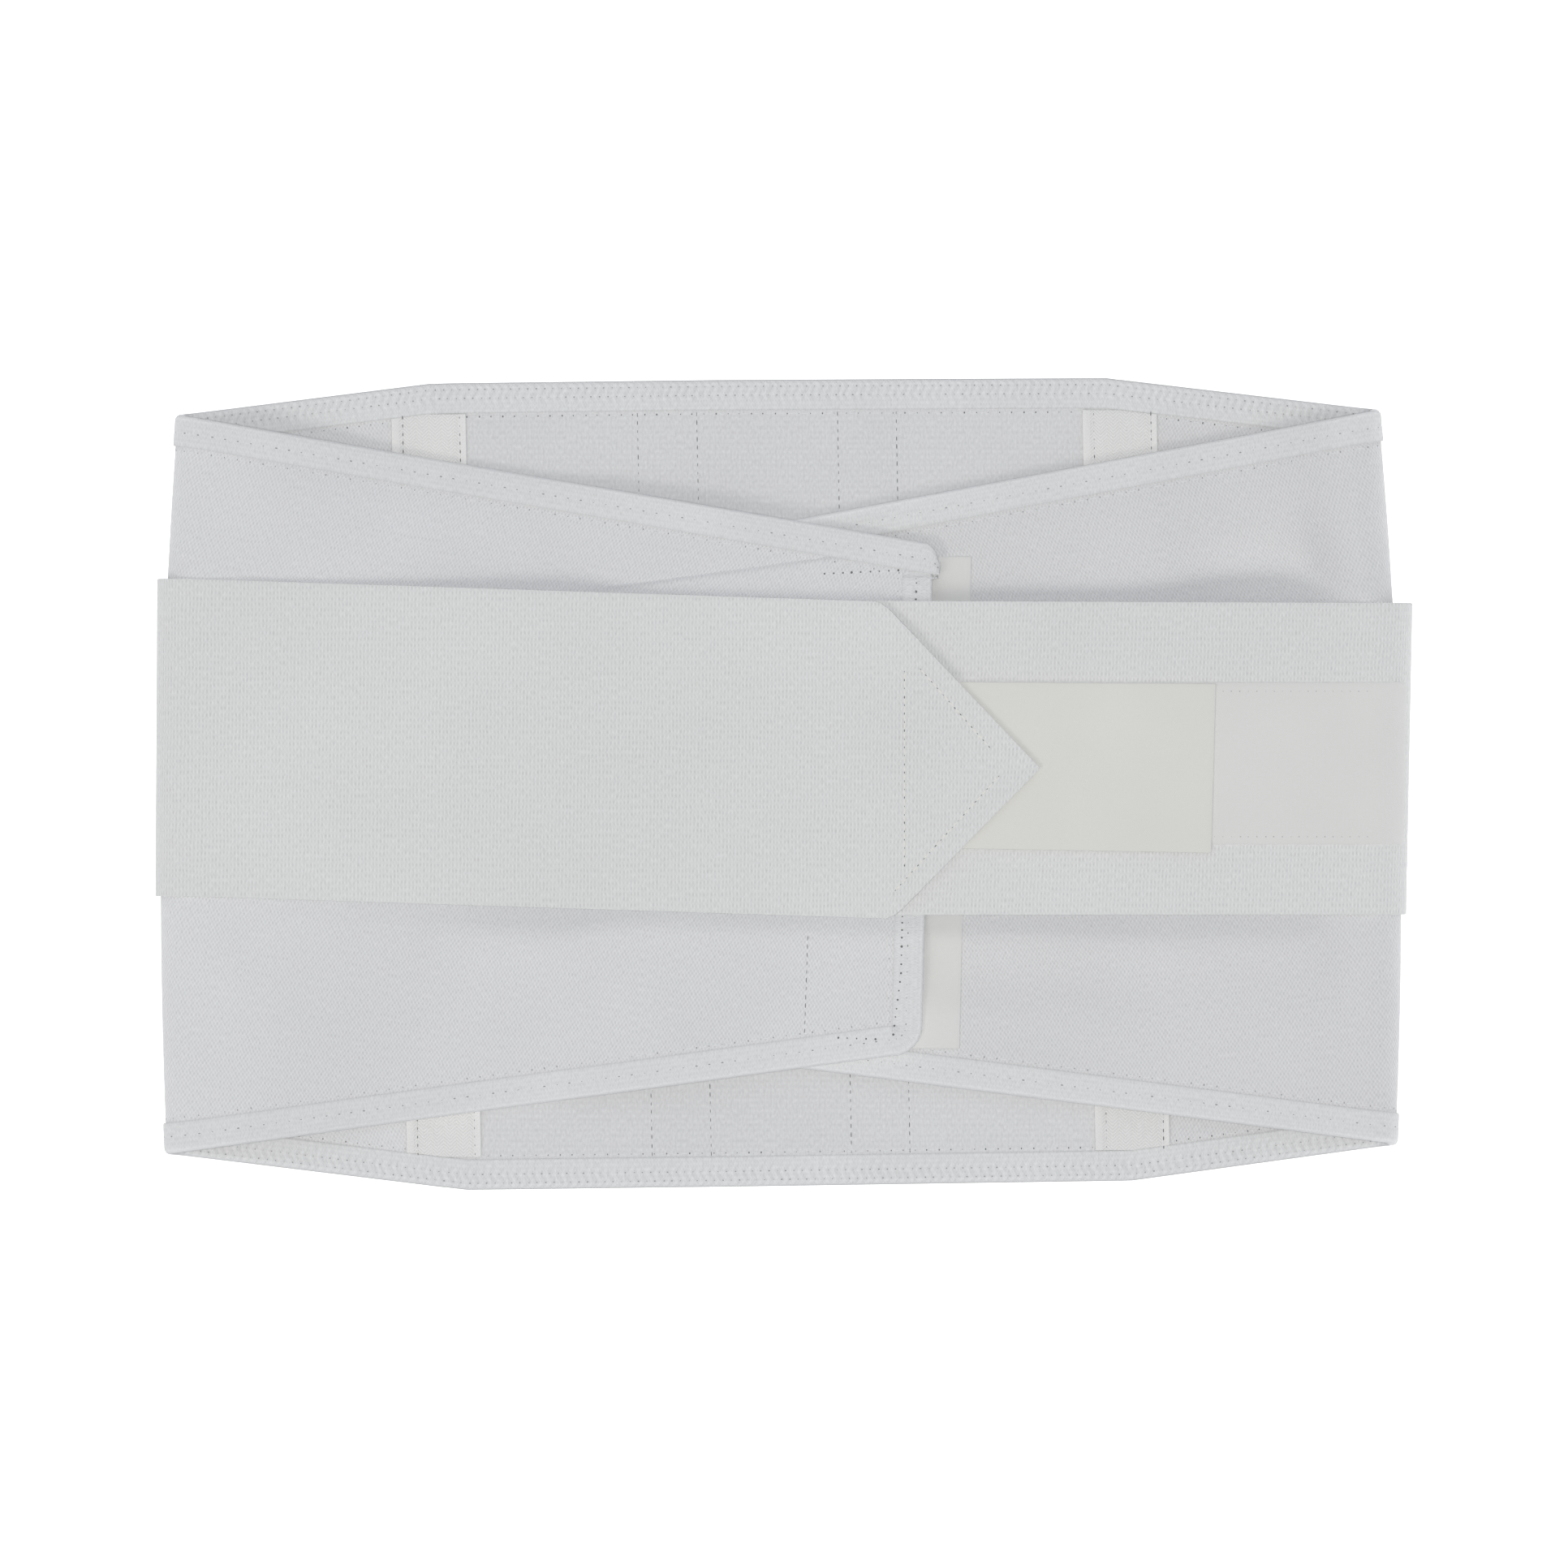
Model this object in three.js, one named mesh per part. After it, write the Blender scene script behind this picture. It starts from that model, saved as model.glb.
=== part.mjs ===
// Lumbar support belt, closed into a loop and lying on its back. Millimetres: +X to the right,
// +Y towards the top edge of the belt, +Z up from the table to the front of the belt.
// u is the distance from the middle of the belt towards the side that a wing or strap comes from.
// n is the distance from the middle of a cloth wall, outwards from the loop.
import * as THREE from "three";

const { lerp, smoothstep, degToRad } = THREE.MathUtils;

// Thickness of each cloth, and the air between two pieces that lie on each other
const GAP = 0.3;
const CLOTH = 2.2;
const STRAP = 1.2;
const TAPE = 1.0;
const BINDING = 1.0;

// Edge binding: how far it reaches in from the edge, and how far the cloth stops short of it
const BINDING_REACH = 9.4;
const EDGE_INSET = BINDING + GAP;
const BINDING_HALF = CLOTH / 2 + GAP;

// Height of the middle of each wall above the table
const BACK_LEVEL = STRAP + GAP + CLOTH / 2;
const FOLD_RADIUS = 8.7;
const CREST = BACK_LEVEL + 2 * FOLD_RADIUS;
const RIGHT_WING_LEVEL = 14.5;
const LEFT_WING_LEVEL = RIGHT_WING_LEVEL + CLOTH + 2 * BINDING + 3 * GAP;
const STRAP_FOLD_RADIUS = FOLD_RADIUS + CLOTH / 2 + GAP + STRAP / 2;
const STRAP_CREST = STRAP / 2 + 2 * STRAP_FOLD_RADIUS;
const STRAP_ON_WING = LEFT_WING_LEVEL + BINDING_HALF + BINDING + GAP + STRAP / 2;

// Rise of each piece of the fastening above the middle of the right strap
const PATCH_RISE = STRAP / 2 + GAP + TAPE / 2;
const TAB_RISE = PATCH_RISE + TAPE + GAP;
const TIP_RISE = TAB_RISE + TAPE / 2 + GAP + STRAP / 2;

// Wing ends: radius of the bottom and top corner, u where the wings start to come down from the fold
const BOTTOM_CORNER = 9.5;
const TOP_CORNER = 5;
const SLOPE_START = 173;

// Steps of the sweeps
const FOLD_STEPS = 12;
const CORNER_STEPS = 5;
const BACK_LEG_SHARES = [0, 0.3, 0.65, 1];
const FRONT_SHARES = [0.05, 0.12, 0.2, 0.28, 0.36, 0.44, 0.52, 0.6, 0.68, 0.76, 0.84, 0.92, 1];

// Outline of the back panel, from the left seam (share 0) to the right seam (share 1)
const BACK_EDGES = [
  { share: 0, top: 123.4, bottom: -124.4 },
  { share: 0.033, top: 123.6, bottom: -125.2 },
  { share: 0.415, top: 124.6, bottom: -124.2 },
  { share: 0.982, top: 125.2, bottom: -122.4 },
  { share: 1, top: 124.7, bottom: -122.3 },
];

// Raised channels for the stays on the inside of the back panel, as shares between the seams
const STAY_CHANNELS = [
  { from: 0.302, to: 0.388 },
  { from: 0.592, to: 0.677 },
];
const CHANNEL_RISE = 0.6;
const CHANNEL_SLOPE = 0.012;
const CHANNEL_STOP = 11;
const CHANNEL_FADE = 4;

// The two wings. Each edge is a line from the seam to the fold on the back, and on from there to the
// end on the front. The fold is furthest out at row fold.y and draws in by fold.curve times the
// square of the distance from there. The end lies past the middle, so its u is negative.
const LEFT_SEAM = BACK_EDGES[0];
const RIGHT_SEAM = BACK_EDGES.at(-1);
const WINGS = {
  left: {
    side: -1,
    level: LEFT_WING_LEVEL,
    levelFrom: 120,
    seam: { top: 109.6, bottom: 104.8 },
    fold: { u: 191.9, y: -28.5, curve: 2.6e-4 },
    end: { top: -46, bottom: -42.4 },
    top: { seamY: LEFT_SEAM.top, foldU: 187, foldY: 113.7, endU: -43.5, endY: 74.3 },
    bottom: { seamY: LEFT_SEAM.bottom, foldU: 190.2, foldY: -114, endU: -33.5, endY: -83.7 },
  },
  right: {
    side: 1,
    level: RIGHT_WING_LEVEL,
    levelFrom: 62,
    seam: { top: 103.4, bottom: 107.4 },
    fold: { u: 190, y: -36, curve: 3.1e-4 },
    end: { top: -46, bottom: -42.4 },
    top: { seamY: RIGHT_SEAM.top, foldU: 183.5, foldY: 115.3, endU: -43.5, endY: 72.6 },
    bottom: { seamY: RIGHT_SEAM.bottom, foldU: 189.7, foldY: -111, endU: -33.5, endY: -82.7 },
  },
};

// Crease in the left wing where it comes down off the edge of the right wing below it
const CREASE = { u: 57.7, y: 58.8, slope: -0.141, rise: 1, halfWidth: 1.5, fade: 26 };
const CREASE_SPAN = { start: 76, full: 42, hold: -4, stop: -24 };

// Cream tapes over the seams on the inside of the back
const STAY_TAPE_WIDTH = 23;

// The two straps: how far the fold reaches out, the edges at the fold and at the shoulders of the
// pointed end, the point itself, and where the other end is sewn on under the back
const STRAPS = {
  left: {
    side: -1,
    sewnU: 98,
    reach: { top: 193, bottom: 193.55 },
    foldY: { top: 63, bottom: -34.2 },
    shoulderU: { top: -30.2, bottom: -33.5 },
    shoulderY: { top: 56, bottom: -40.6 },
    tip: { u: -78.7, y: 4.8 },
  },
  right: {
    side: 1,
    sewnU: 98,
    reach: { top: 193.55, bottom: 191.6 },
    foldY: { top: 55.6, bottom: -40 },
    shoulderU: { top: -30.2, bottom: -30.2 },
    shoulderY: { top: 56.5, bottom: -40.8 },
    tip: { u: -78, y: 7.8 },
  },
};
const TIP_SHARES = [0.25, 0.5, 0.75, 0.985];

// Height of the middle of each strap along the front
const STRAP_HEIGHTS = {
  left: [
    { x: -182, z: STRAP_CREST },
    { x: -125, z: STRAP_CREST + 0.8 },
    { x: -78, z: STRAP_ON_WING + STRAP + 0.5 },
    { x: -20, z: STRAP_ON_WING + 3.1 },
    { x: 24, z: STRAP_ON_WING + TIP_RISE + 0.05 },
    { x: 46, z: STRAP_ON_WING + TIP_RISE + 0.05 },
    { x: 79, z: STRAP_ON_WING + TIP_RISE - 0.25 },
  ],
  right: [
    { x: -79, z: STRAP_ON_WING },
    { x: 46, z: STRAP_ON_WING },
    { x: 80, z: STRAP_ON_WING - 0.3 },
    { x: 130, z: STRAP_ON_WING - 0.7 },
    { x: 182, z: STRAP_CREST },
  ],
};

// Fastening pieces: x of their left and right ends, and y of their top and bottom edges
const HOOK_TAB = {
  left: 26,
  right: { top: 132.7, bottom: 131.3 },
  top: { left: 31.6, right: 30.8 },
  bottom: { left: -19.3, right: -21.2 },
};
const LOOP_PATCH = { left: 12, top: 31.2, bottom: -18.5, turn: degToRad(54) };
const WING_HOOK_STRIP = { right: { top: 57.7, bottom: 54 }, width: 20, top: 70, bottom: -81.5 };

// Colour and roughness of the cloths
const FINISHES = {
  wing: { color: "#d0d1d3", roughness: 0.95 },
  back: { color: "#cccdce", roughness: 0.95 },
  strap: { color: "#d1d2d2", roughness: 0.9 },
  binding: { color: "#ced0d1", roughness: 0.9 },
  tape: { color: "#d3d3d0", roughness: 0.85 },
};

// Height of a smooth curve through the rows of a table of x and z
function heightAlong(rows, x) {
  const last = rows.length - 1;
  const slope = (i) => {
    const before = rows[Math.max(i - 1, 0)];
    const after = rows[Math.min(i + 1, last)];
    return (after.z - before.z) / (after.x - before.x);
  };
  if (x <= rows[0].x) return rows[0].z;
  if (x >= rows[last].x) return rows[last].z;
  const i = rows.findIndex((row) => row.x > x) - 1;
  const span = rows[i + 1].x - rows[i].x;
  const t = (x - rows[i].x) / span;
  const ease = t * t * (3 - 2 * t);
  const leave = t * (1 - t) * (1 - t) * span * slope(i);
  const arrive = t * t * (1 - t) * span * slope(i + 1);
  return lerp(rows[i].z, rows[i + 1].z, ease) + leave - arrive;
}

// Value of one column of a table at a share, on straight lines between its rows
function columnAt(rows, column, share) {
  const i = Math.max(1, rows.findIndex((row) => row.share >= share));
  const before = rows[i - 1];
  const after = rows[i];
  return lerp(before[column], after[column], (share - before.share) / (after.share - before.share));
}

// A value that changes evenly from the bottom row to the top row
function alongRows(ends, rows, y) {
  return lerp(ends.bottom, ends.top, (y - rows.bottom) / (rows.top - rows.bottom));
}

// One closed solid through stations that each hold the outer and the inner side of a wall
function wallMesh(name, finish, stations) {
  const pairs = stations[0].outer.length;
  const points = stations.flatMap((station) => [...station.outer, ...station.inner]);
  const outer = (s, i) => s * 2 * pairs + i;
  const inner = (s, i) => s * 2 * pairs + pairs + i;
  const index = [];
  const quad = (a, b, c, d) => index.push(a, b, c, a, c, d);
  const last = stations.length - 1;
  for (let s = 0; s < last; s += 1) {
    for (let i = 0; i < pairs - 1; i += 1) {
      quad(outer(s, i), outer(s, i + 1), outer(s + 1, i + 1), outer(s + 1, i));
      quad(inner(s, i), inner(s + 1, i), inner(s + 1, i + 1), inner(s, i + 1));
    }
    quad(inner(s, 0), outer(s, 0), outer(s + 1, 0), inner(s + 1, 0));
    const edge = pairs - 1;
    quad(outer(s, edge), inner(s, edge), inner(s + 1, edge), outer(s + 1, edge));
  }
  for (let i = 0; i < pairs - 1; i += 1) {
    quad(outer(0, i), inner(0, i), inner(0, i + 1), outer(0, i + 1));
    quad(outer(last, i), outer(last, i + 1), inner(last, i + 1), inner(last, i));
  }
  if (signedVolume(points, index) < 0) index.reverse();
  const geometry = new THREE.BufferGeometry().setFromPoints(points);
  geometry.setIndex(index);
  geometry.computeVertexNormals();
  const material = new THREE.MeshStandardMaterial({ ...FINISHES[finish], metalness: 0 });
  const mesh = new THREE.Mesh(geometry, material);
  mesh.name = name;
  return mesh;
}

function signedVolume(points, index) {
  let volume = 0;
  for (let i = 0; i < index.length; i += 3) {
    const [a, b, c] = index.slice(i, i + 3).map((k) => points[k]);
    volume += a.dot(b.clone().cross(c)) / 6;
  }
  return volume;
}

// A station of a flat wall: the places in list, at half the thickness to either side
function flatStation(list, half, place) {
  return {
    outer: list.map((item) => place(item, half)),
    inner: list.map((item) => place(item, -half)),
  };
}

// A station of the binding: a channel open inwards, d measured in from the edge
function bindingStation(place) {
  const tip = BINDING_HALF + BINDING;
  const outer = [[BINDING_REACH, tip], [0, tip], [0, -tip], [BINDING_REACH, -tip]];
  const inner = [
    [BINDING_REACH, BINDING_HALF],
    [BINDING, BINDING_HALF],
    [BINDING, -BINDING_HALF],
    [BINDING_REACH, -BINDING_HALF],
  ];
  return {
    outer: outer.map(([d, n]) => place(d, n)),
    inner: inner.map(([d, n]) => place(d, n)),
  };
}

// Wings

function wingRows(wing) {
  return { top: wing.top.foldY, bottom: wing.bottom.foldY };
}

function seamU(wing, y) {
  return alongRows(wing.seam, wingRows(wing), y);
}

function wingEndU(wing, y) {
  return alongRows(wing.end, { top: wing.top.endY, bottom: wing.bottom.endY }, y);
}

function foldAxisU(wing, y) {
  const { fold } = wing;
  return fold.u - fold.curve * (y - fold.y) ** 2 - FOLD_RADIUS - CLOTH / 2;
}

// Height of the middle of a wing on the front
function wingLevel(wing, u) {
  return lerp(CREST, wing.level, smoothstep(SLOPE_START - u, 0, SLOPE_START - wing.levelFrom));
}

// u of a spot on a wing's run: back leg, fold, front, or the last stretch before the end
function spotU(wing, spot, y, n) {
  const axis = foldAxisU(wing, y);
  switch (spot.part) {
    case "back":
      return lerp(seamU(wing, y) + GAP / 2, axis, spot.share);
    case "fold":
      return axis + (FOLD_RADIUS + n) * Math.sin(spot.angle);
    case "front":
      return lerp(axis, wingEndU(wing, y) + BOTTOM_CORNER, spot.share);
    default:
      return wingEndU(wing, y) + spot.inset;
  }
}

function wingPoint(wing, spot, y, n, lift = 0) {
  const u = spotU(wing, spot, y, n);
  let z = wingLevel(wing, u) + n + lift;
  if (spot.part === "back") z = BACK_LEVEL - n;
  if (spot.part === "fold") z = BACK_LEVEL + FOLD_RADIUS - (FOLD_RADIUS + n) * Math.cos(spot.angle);
  return new THREE.Vector3(wing.side * u, y, z);
}

function frontPoint(wing, u, y, n) {
  return new THREE.Vector3(wing.side * u, y, wingLevel(wing, u) + n);
}

// y of a wing's finished top or bottom edge at a spot, before any corner is rounded
function edgeLineY(wing, edge, spot) {
  const line = wing[edge];
  const behind = spot.part === "back" || (spot.part === "fold" && spot.angle < Math.PI / 2);
  let y = line.foldY;
  for (let pass = 0; pass < 3; pass += 1) {
    const u = spotU(wing, spot, y, 0);
    const toSeam = (line.foldU - u) / (line.foldU - wing.seam[edge]);
    const toEnd = (line.foldU - u) / (line.foldU - line.endU);
    y = behind ? lerp(line.foldY, line.seamY, toSeam) : lerp(line.foldY, line.endY, toEnd);
  }
  return y;
}

// How far a corner of the given radius draws in at a distance from the end
function cornerDrop(radius, inset) {
  if (inset >= radius) return 0;
  return radius - Math.sqrt(radius ** 2 - (radius - inset) ** 2);
}

function wingSpots() {
  const spots = BACK_LEG_SHARES.map((share) => ({ part: "back", share }));
  for (let step = 1; step <= FOLD_STEPS; step += 1) {
    spots.push({ part: "fold", angle: (Math.PI * step) / FOLD_STEPS });
  }
  spots.push(...FRONT_SHARES.map((share) => ({ part: "front", share })));
  const sweep = BOTTOM_CORNER - EDGE_INSET;
  for (let step = 1; step <= CORNER_STEPS; step += 1) {
    const turn = (Math.PI / 2) * (step / CORNER_STEPS);
    spots.push({ part: "end", inset: BOTTOM_CORNER - sweep * Math.sin(turn) });
  }
  return spots;
}

function creaseY(u) {
  return CREASE.y + CREASE.slope * (u - CREASE.u);
}

// Share of the crease's full rise at a place along the front
function creaseShare(wing, spot, u) {
  if (wing.side > 0 || spot.part === "back" || spot.part === "fold") return 0;
  const begin = smoothstep(CREASE_SPAN.start - u, 0, CREASE_SPAN.start - CREASE_SPAN.full);
  const finish = smoothstep(CREASE_SPAN.hold - u, 0, CREASE_SPAN.hold - CREASE_SPAN.stop);
  return begin * (1 - finish);
}

function wingStation(wing, spot) {
  const inset = spot.part === "end" ? spot.inset - EDGE_INSET : BOTTOM_CORNER;
  const topY = edgeLineY(wing, "top", spot) - EDGE_INSET - cornerDrop(TOP_CORNER - EDGE_INSET, inset);
  const lowY = edgeLineY(wing, "bottom", spot) + EDGE_INSET + cornerDrop(BOTTOM_CORNER - EDGE_INSET, inset);
  const u = spotU(wing, spot, topY, 0);
  const crease = Math.min(creaseY(u), topY - 3 * CREASE.halfWidth);
  const lift = CREASE.rise * creaseShare(wing, spot, u);
  const under = crease - CREASE.halfWidth;
  const over = crease + CREASE.halfWidth;
  const rows = [
    { y: lowY, lift: 0 },
    { y: lerp(lowY, under, 0.3), lift: 0 },
    { y: lerp(lowY, under, 0.6), lift: 0 },
    { y: under - CREASE.fade, lift: 0 },
    { y: under, lift },
    { y: over, lift: 0 },
    { y: topY, lift: 0 },
  ];
  return flatStation(rows, CLOTH / 2, (row, n) => wingPoint(wing, spot, row.y, n, row.lift));
}

function makeWing(name, wing) {
  return wallMesh(name, "wing", wingSpots().map((spot) => wingStation(wing, spot)));
}

// Back panel

function backPoint(share, y, n) {
  const left = -seamU(WINGS.left, y) + GAP / 2;
  const right = seamU(WINGS.right, y) - GAP / 2;
  return new THREE.Vector3(lerp(left, right, share), y, BACK_LEVEL - n);
}

function backShares() {
  const shares = BACK_EDGES.map((row) => row.share);
  for (const { from, to } of STAY_CHANNELS) {
    shares.push(from, from + CHANNEL_SLOPE, to - CHANNEL_SLOPE, to);
  }
  return shares.sort((a, b) => a - b);
}

function channelRise(share) {
  const inside = STAY_CHANNELS.some(({ from, to }) => share > from && share < to);
  return inside ? CHANNEL_RISE : 0;
}

function makeBackPanel() {
  const stations = backShares().map((share) => {
    const topY = columnAt(BACK_EDGES, "top", share) - EDGE_INSET;
    const lowY = columnAt(BACK_EDGES, "bottom", share) + EDGE_INSET;
    const rise = channelRise(share);
    const rows = [
      { y: lowY, rise: 0 },
      { y: lowY + CHANNEL_STOP, rise: 0 },
      { y: lowY + CHANNEL_STOP + CHANNEL_FADE, rise },
      { y: topY - CHANNEL_STOP - CHANNEL_FADE, rise },
      { y: topY - CHANNEL_STOP, rise: 0 },
      { y: topY, rise: 0 },
    ];
    return {
      outer: rows.map((row) => backPoint(share, row.y, CLOTH / 2)),
      inner: rows.map((row) => backPoint(share, row.y, -CLOTH / 2 - row.rise)),
    };
  });
  return wallMesh("back_panel", "back", stations);
}

// The ends follow the slope of the edge on the wing's side of the seam
function makeStayTape(name, wing) {
  const middle = BINDING_HALF + TAPE / 2;
  const clear = BINDING_REACH + GAP;
  const endY = (edge, across) => {
    const line = wing[edge];
    const share = Math.max(across, 0) / (line.foldU - wing.seam[edge]);
    const inward = edge === "top" ? -1 : 1;
    return lerp(line.seamY, line.foldY, share) + inward * clear;
  };
  const sides = [-STAY_TAPE_WIDTH / 2, 0, STAY_TAPE_WIDTH / 2];
  const stations = sides.map((across) => flatStation(["bottom", "top"], TAPE / 2, (edge, n) => {
    const y = endY(edge, across);
    return new THREE.Vector3(wing.side * (seamU(wing, y) + across), y, BACK_LEVEL + middle - n);
  }));
  return wallMesh(name, "tape", stations);
}

// Bindings

function edgeStation(wing, edge, spot) {
  const inward = edge === "top" ? -1 : 1;
  const drop = spot.part === "end" ? cornerDrop(TOP_CORNER, spot.inset) : 0;
  const lineY = edgeLineY(wing, edge, spot);
  return bindingStation((d, n) => {
    const y = lineY + inward * (d === BINDING_REACH ? d : Math.min(d + drop, BINDING_REACH - BINDING));
    return wingPoint(wing, spot, y, n);
  });
}

function backEdgeStations(edge) {
  const inward = edge === "top" ? -1 : 1;
  return BACK_EDGES.map((row) => bindingStation((d, n) => backPoint(row.share, row[edge] + inward * d, n)));
}

// Stations round the bottom corner of a wing and up its end, as far as the top binding
function endStations(wing) {
  const lowY = edgeLineY(wing, "bottom", { part: "end", inset: BOTTOM_CORNER });
  const centreY = lowY + BOTTOM_CORNER;
  const centreU = wingEndU(wing, centreY) + BOTTOM_CORNER;
  const stations = [];
  for (let step = 1; step <= CORNER_STEPS; step += 1) {
    const turn = (Math.PI / 2) * (step / CORNER_STEPS);
    stations.push(bindingStation((d, n) => {
      const reach = BOTTOM_CORNER - d;
      return frontPoint(wing, centreU - reach * Math.sin(turn), centreY - reach * Math.cos(turn), n);
    }));
  }
  const stopY = edgeLineY(wing, "top", { part: "end", inset: 0 }) - BINDING_REACH - GAP;
  stations.push(bindingStation((d, n) => frontPoint(wing, wingEndU(wing, stopY) + d, stopY, n)));
  return stations;
}

function makeTopBinding() {
  const spots = wingSpots().slice(1);
  spots.push({ part: "end", inset: 0 });
  const onWing = (wing) => spots.map((spot) => edgeStation(wing, "top", spot));
  const stations = [...onWing(WINGS.left).reverse(), ...backEdgeStations("top"), ...onWing(WINGS.right)];
  return wallMesh("binding_top", "binding", stations);
}

function makeBottomBinding() {
  const spots = wingSpots().slice(1).filter((spot) => spot.part !== "end");
  const onWing = (wing) => [...spots.map((spot) => edgeStation(wing, "bottom", spot)), ...endStations(wing)];
  const stations = [...onWing(WINGS.left).reverse(), ...backEdgeStations("bottom"), ...onWing(WINGS.right)];
  return wallMesh("binding_bottom", "binding", stations);
}

// Straps and fastening

function strapAxisU(strap, y) {
  return alongRows(strap.reach, strap.foldY, y) - STRAP_FOLD_RADIUS - STRAP / 2;
}

function strapFoldPoint(strap, angle, y, n) {
  const radius = STRAP_FOLD_RADIUS + n;
  const u = strapAxisU(strap, y) + radius * Math.sin(angle);
  return new THREE.Vector3(strap.side * u, y, STRAP / 2 + STRAP_FOLD_RADIUS - radius * Math.cos(angle));
}

function strapFrontPoint(strap, heights, u, y, n) {
  const x = strap.side * u;
  return new THREE.Vector3(x, y, heightAlong(heights, x) + n);
}

function makeStrap(name, strap, heights) {
  const edges = ["bottom", "top"];
  const sewnX = strap.side * strap.sewnU;
  const sewnPlace = (edge, n) => new THREE.Vector3(sewnX, strap.foldY[edge], STRAP / 2 - n);
  const stations = [flatStation(edges, STRAP / 2, sewnPlace)];
  for (let step = 0; step <= FOLD_STEPS; step += 1) {
    const angle = (Math.PI * step) / FOLD_STEPS;
    const foldPlace = (edge, n) => strapFoldPoint(strap, angle, strap.foldY[edge], n);
    stations.push(flatStation(edges, STRAP / 2, foldPlace));
  }
  for (const share of FRONT_SHARES) {
    stations.push(flatStation(edges, STRAP / 2, (edge, n) => {
      const u = lerp(strapAxisU(strap, strap.foldY[edge]), strap.shoulderU[edge], share);
      return strapFrontPoint(strap, heights, u, lerp(strap.foldY[edge], strap.shoulderY[edge], share), n);
    }));
  }
  for (const share of TIP_SHARES) {
    stations.push(flatStation(edges, STRAP / 2, (edge, n) => {
      const u = lerp(strap.shoulderU[edge], strap.tip.u, share);
      return strapFrontPoint(strap, heights, u, lerp(strap.shoulderY[edge], strap.tip.y, share), n);
    }));
  }
  return wallMesh(name, "strap", stations);
}

function makeHookTab() {
  const stations = [0, ...FRONT_SHARES].map((share) => flatStation(["bottom", "top"], TAPE / 2, (edge, n) => {
    const x = lerp(HOOK_TAB.left, HOOK_TAB.right[edge], share);
    const y = lerp(HOOK_TAB[edge].left, HOOK_TAB[edge].right, share);
    return new THREE.Vector3(x, y, heightAlong(STRAP_HEIGHTS.right, x) + TAB_RISE + n);
  }));
  return wallMesh("hook_tab", "tape", stations);
}

function makeLoopPatch() {
  const strap = STRAPS.right;
  const edges = ["bottom", "top"];
  const stations = [0, ...FRONT_SHARES].map((share) => flatStation(edges, TAPE / 2, (edge, n) => {
    const y = LOOP_PATCH[edge];
    const x = lerp(LOOP_PATCH.left, strapAxisU(strap, y), share);
    return new THREE.Vector3(x, y, heightAlong(STRAP_HEIGHTS.right, x) + PATCH_RISE + n);
  }));
  const step = Math.PI / FOLD_STEPS;
  for (let turn = step; turn < LOOP_PATCH.turn + step / 2; turn += step) {
    stations.push(flatStation(edges, TAPE / 2, (edge, n) => {
      return strapFoldPoint(strap, Math.PI - turn, LOOP_PATCH[edge], PATCH_RISE + n);
    }));
  }
  return wallMesh("loop_patch", "tape", stations);
}

function makeWingHookStrip() {
  const strip = WING_HOOK_STRIP;
  const level = RIGHT_WING_LEVEL + CLOTH / 2 + GAP + TAPE / 2;
  const stations = ["bottom", "top"].map((edge) => {
    const sides = [strip.right[edge] - strip.width, strip.right[edge]];
    return flatStation(sides, TAPE / 2, (x, n) => new THREE.Vector3(x, strip[edge], level + n));
  });
  return wallMesh("wing_hook_strip", "tape", stations);
}

const belt = new THREE.Group();
belt.add(
  makeBackPanel(),
  makeWing("wing_left", WINGS.left),
  makeWing("wing_right", WINGS.right),
  makeTopBinding(),
  makeBottomBinding(),
  makeStayTape("stay_tape_left", WINGS.left),
  makeStayTape("stay_tape_right", WINGS.right),
  makeStrap("strap_left", STRAPS.left, STRAP_HEIGHTS.left),
  makeStrap("strap_right", STRAPS.right, STRAP_HEIGHTS.right),
  makeHookTab(),
  makeLoopPatch(),
  makeWingHookStrip(),
);

export default belt;
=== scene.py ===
# Finish of the lumbar support belt: cloths, elastic straps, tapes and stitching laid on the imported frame.
# Lengths here are millimetres, and MM turns them into the scene's metres. +X is to the right, +Y towards
# the top edge of the belt, +Z up from the table. u is the distance from the middle of the belt towards
# the side that a wing or strap comes from, n the distance outwards from the middle of a cloth, and d the
# distance in from a bound edge.
import math
from collections import namedtuple

import bpy
import numpy as np
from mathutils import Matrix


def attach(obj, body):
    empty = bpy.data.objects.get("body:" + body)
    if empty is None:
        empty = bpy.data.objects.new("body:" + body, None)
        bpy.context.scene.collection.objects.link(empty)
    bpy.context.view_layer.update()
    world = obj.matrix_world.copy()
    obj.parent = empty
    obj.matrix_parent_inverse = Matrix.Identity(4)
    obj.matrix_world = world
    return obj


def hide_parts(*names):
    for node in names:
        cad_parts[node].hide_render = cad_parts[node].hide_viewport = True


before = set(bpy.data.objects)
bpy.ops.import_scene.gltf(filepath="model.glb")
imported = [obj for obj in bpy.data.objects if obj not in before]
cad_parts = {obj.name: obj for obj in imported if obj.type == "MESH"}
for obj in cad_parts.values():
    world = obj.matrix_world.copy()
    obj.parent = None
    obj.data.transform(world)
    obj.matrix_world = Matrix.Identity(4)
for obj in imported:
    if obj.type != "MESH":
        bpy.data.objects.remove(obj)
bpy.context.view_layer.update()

MM = 0.001

# Thickness of each cloth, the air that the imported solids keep, how far soft layers settle into it, and the
# least distance between two faces
CLOTH = 2.2
STRAP = 1.2
TAPE = 1.0
THIN_TAPE = 0.6
GAP = 0.3
SETTLE = 0.25
HAIR = 0.02

# Edge binding: reach in from the edge, half its thickness over the cloth, and the cloth's inset under it
BINDING_REACH = 9.4
BINDING_OUT = 1.9
BINDING_SLOT = CLOTH / 2 + 0.05
EDGE_INSET = 1.3

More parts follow.
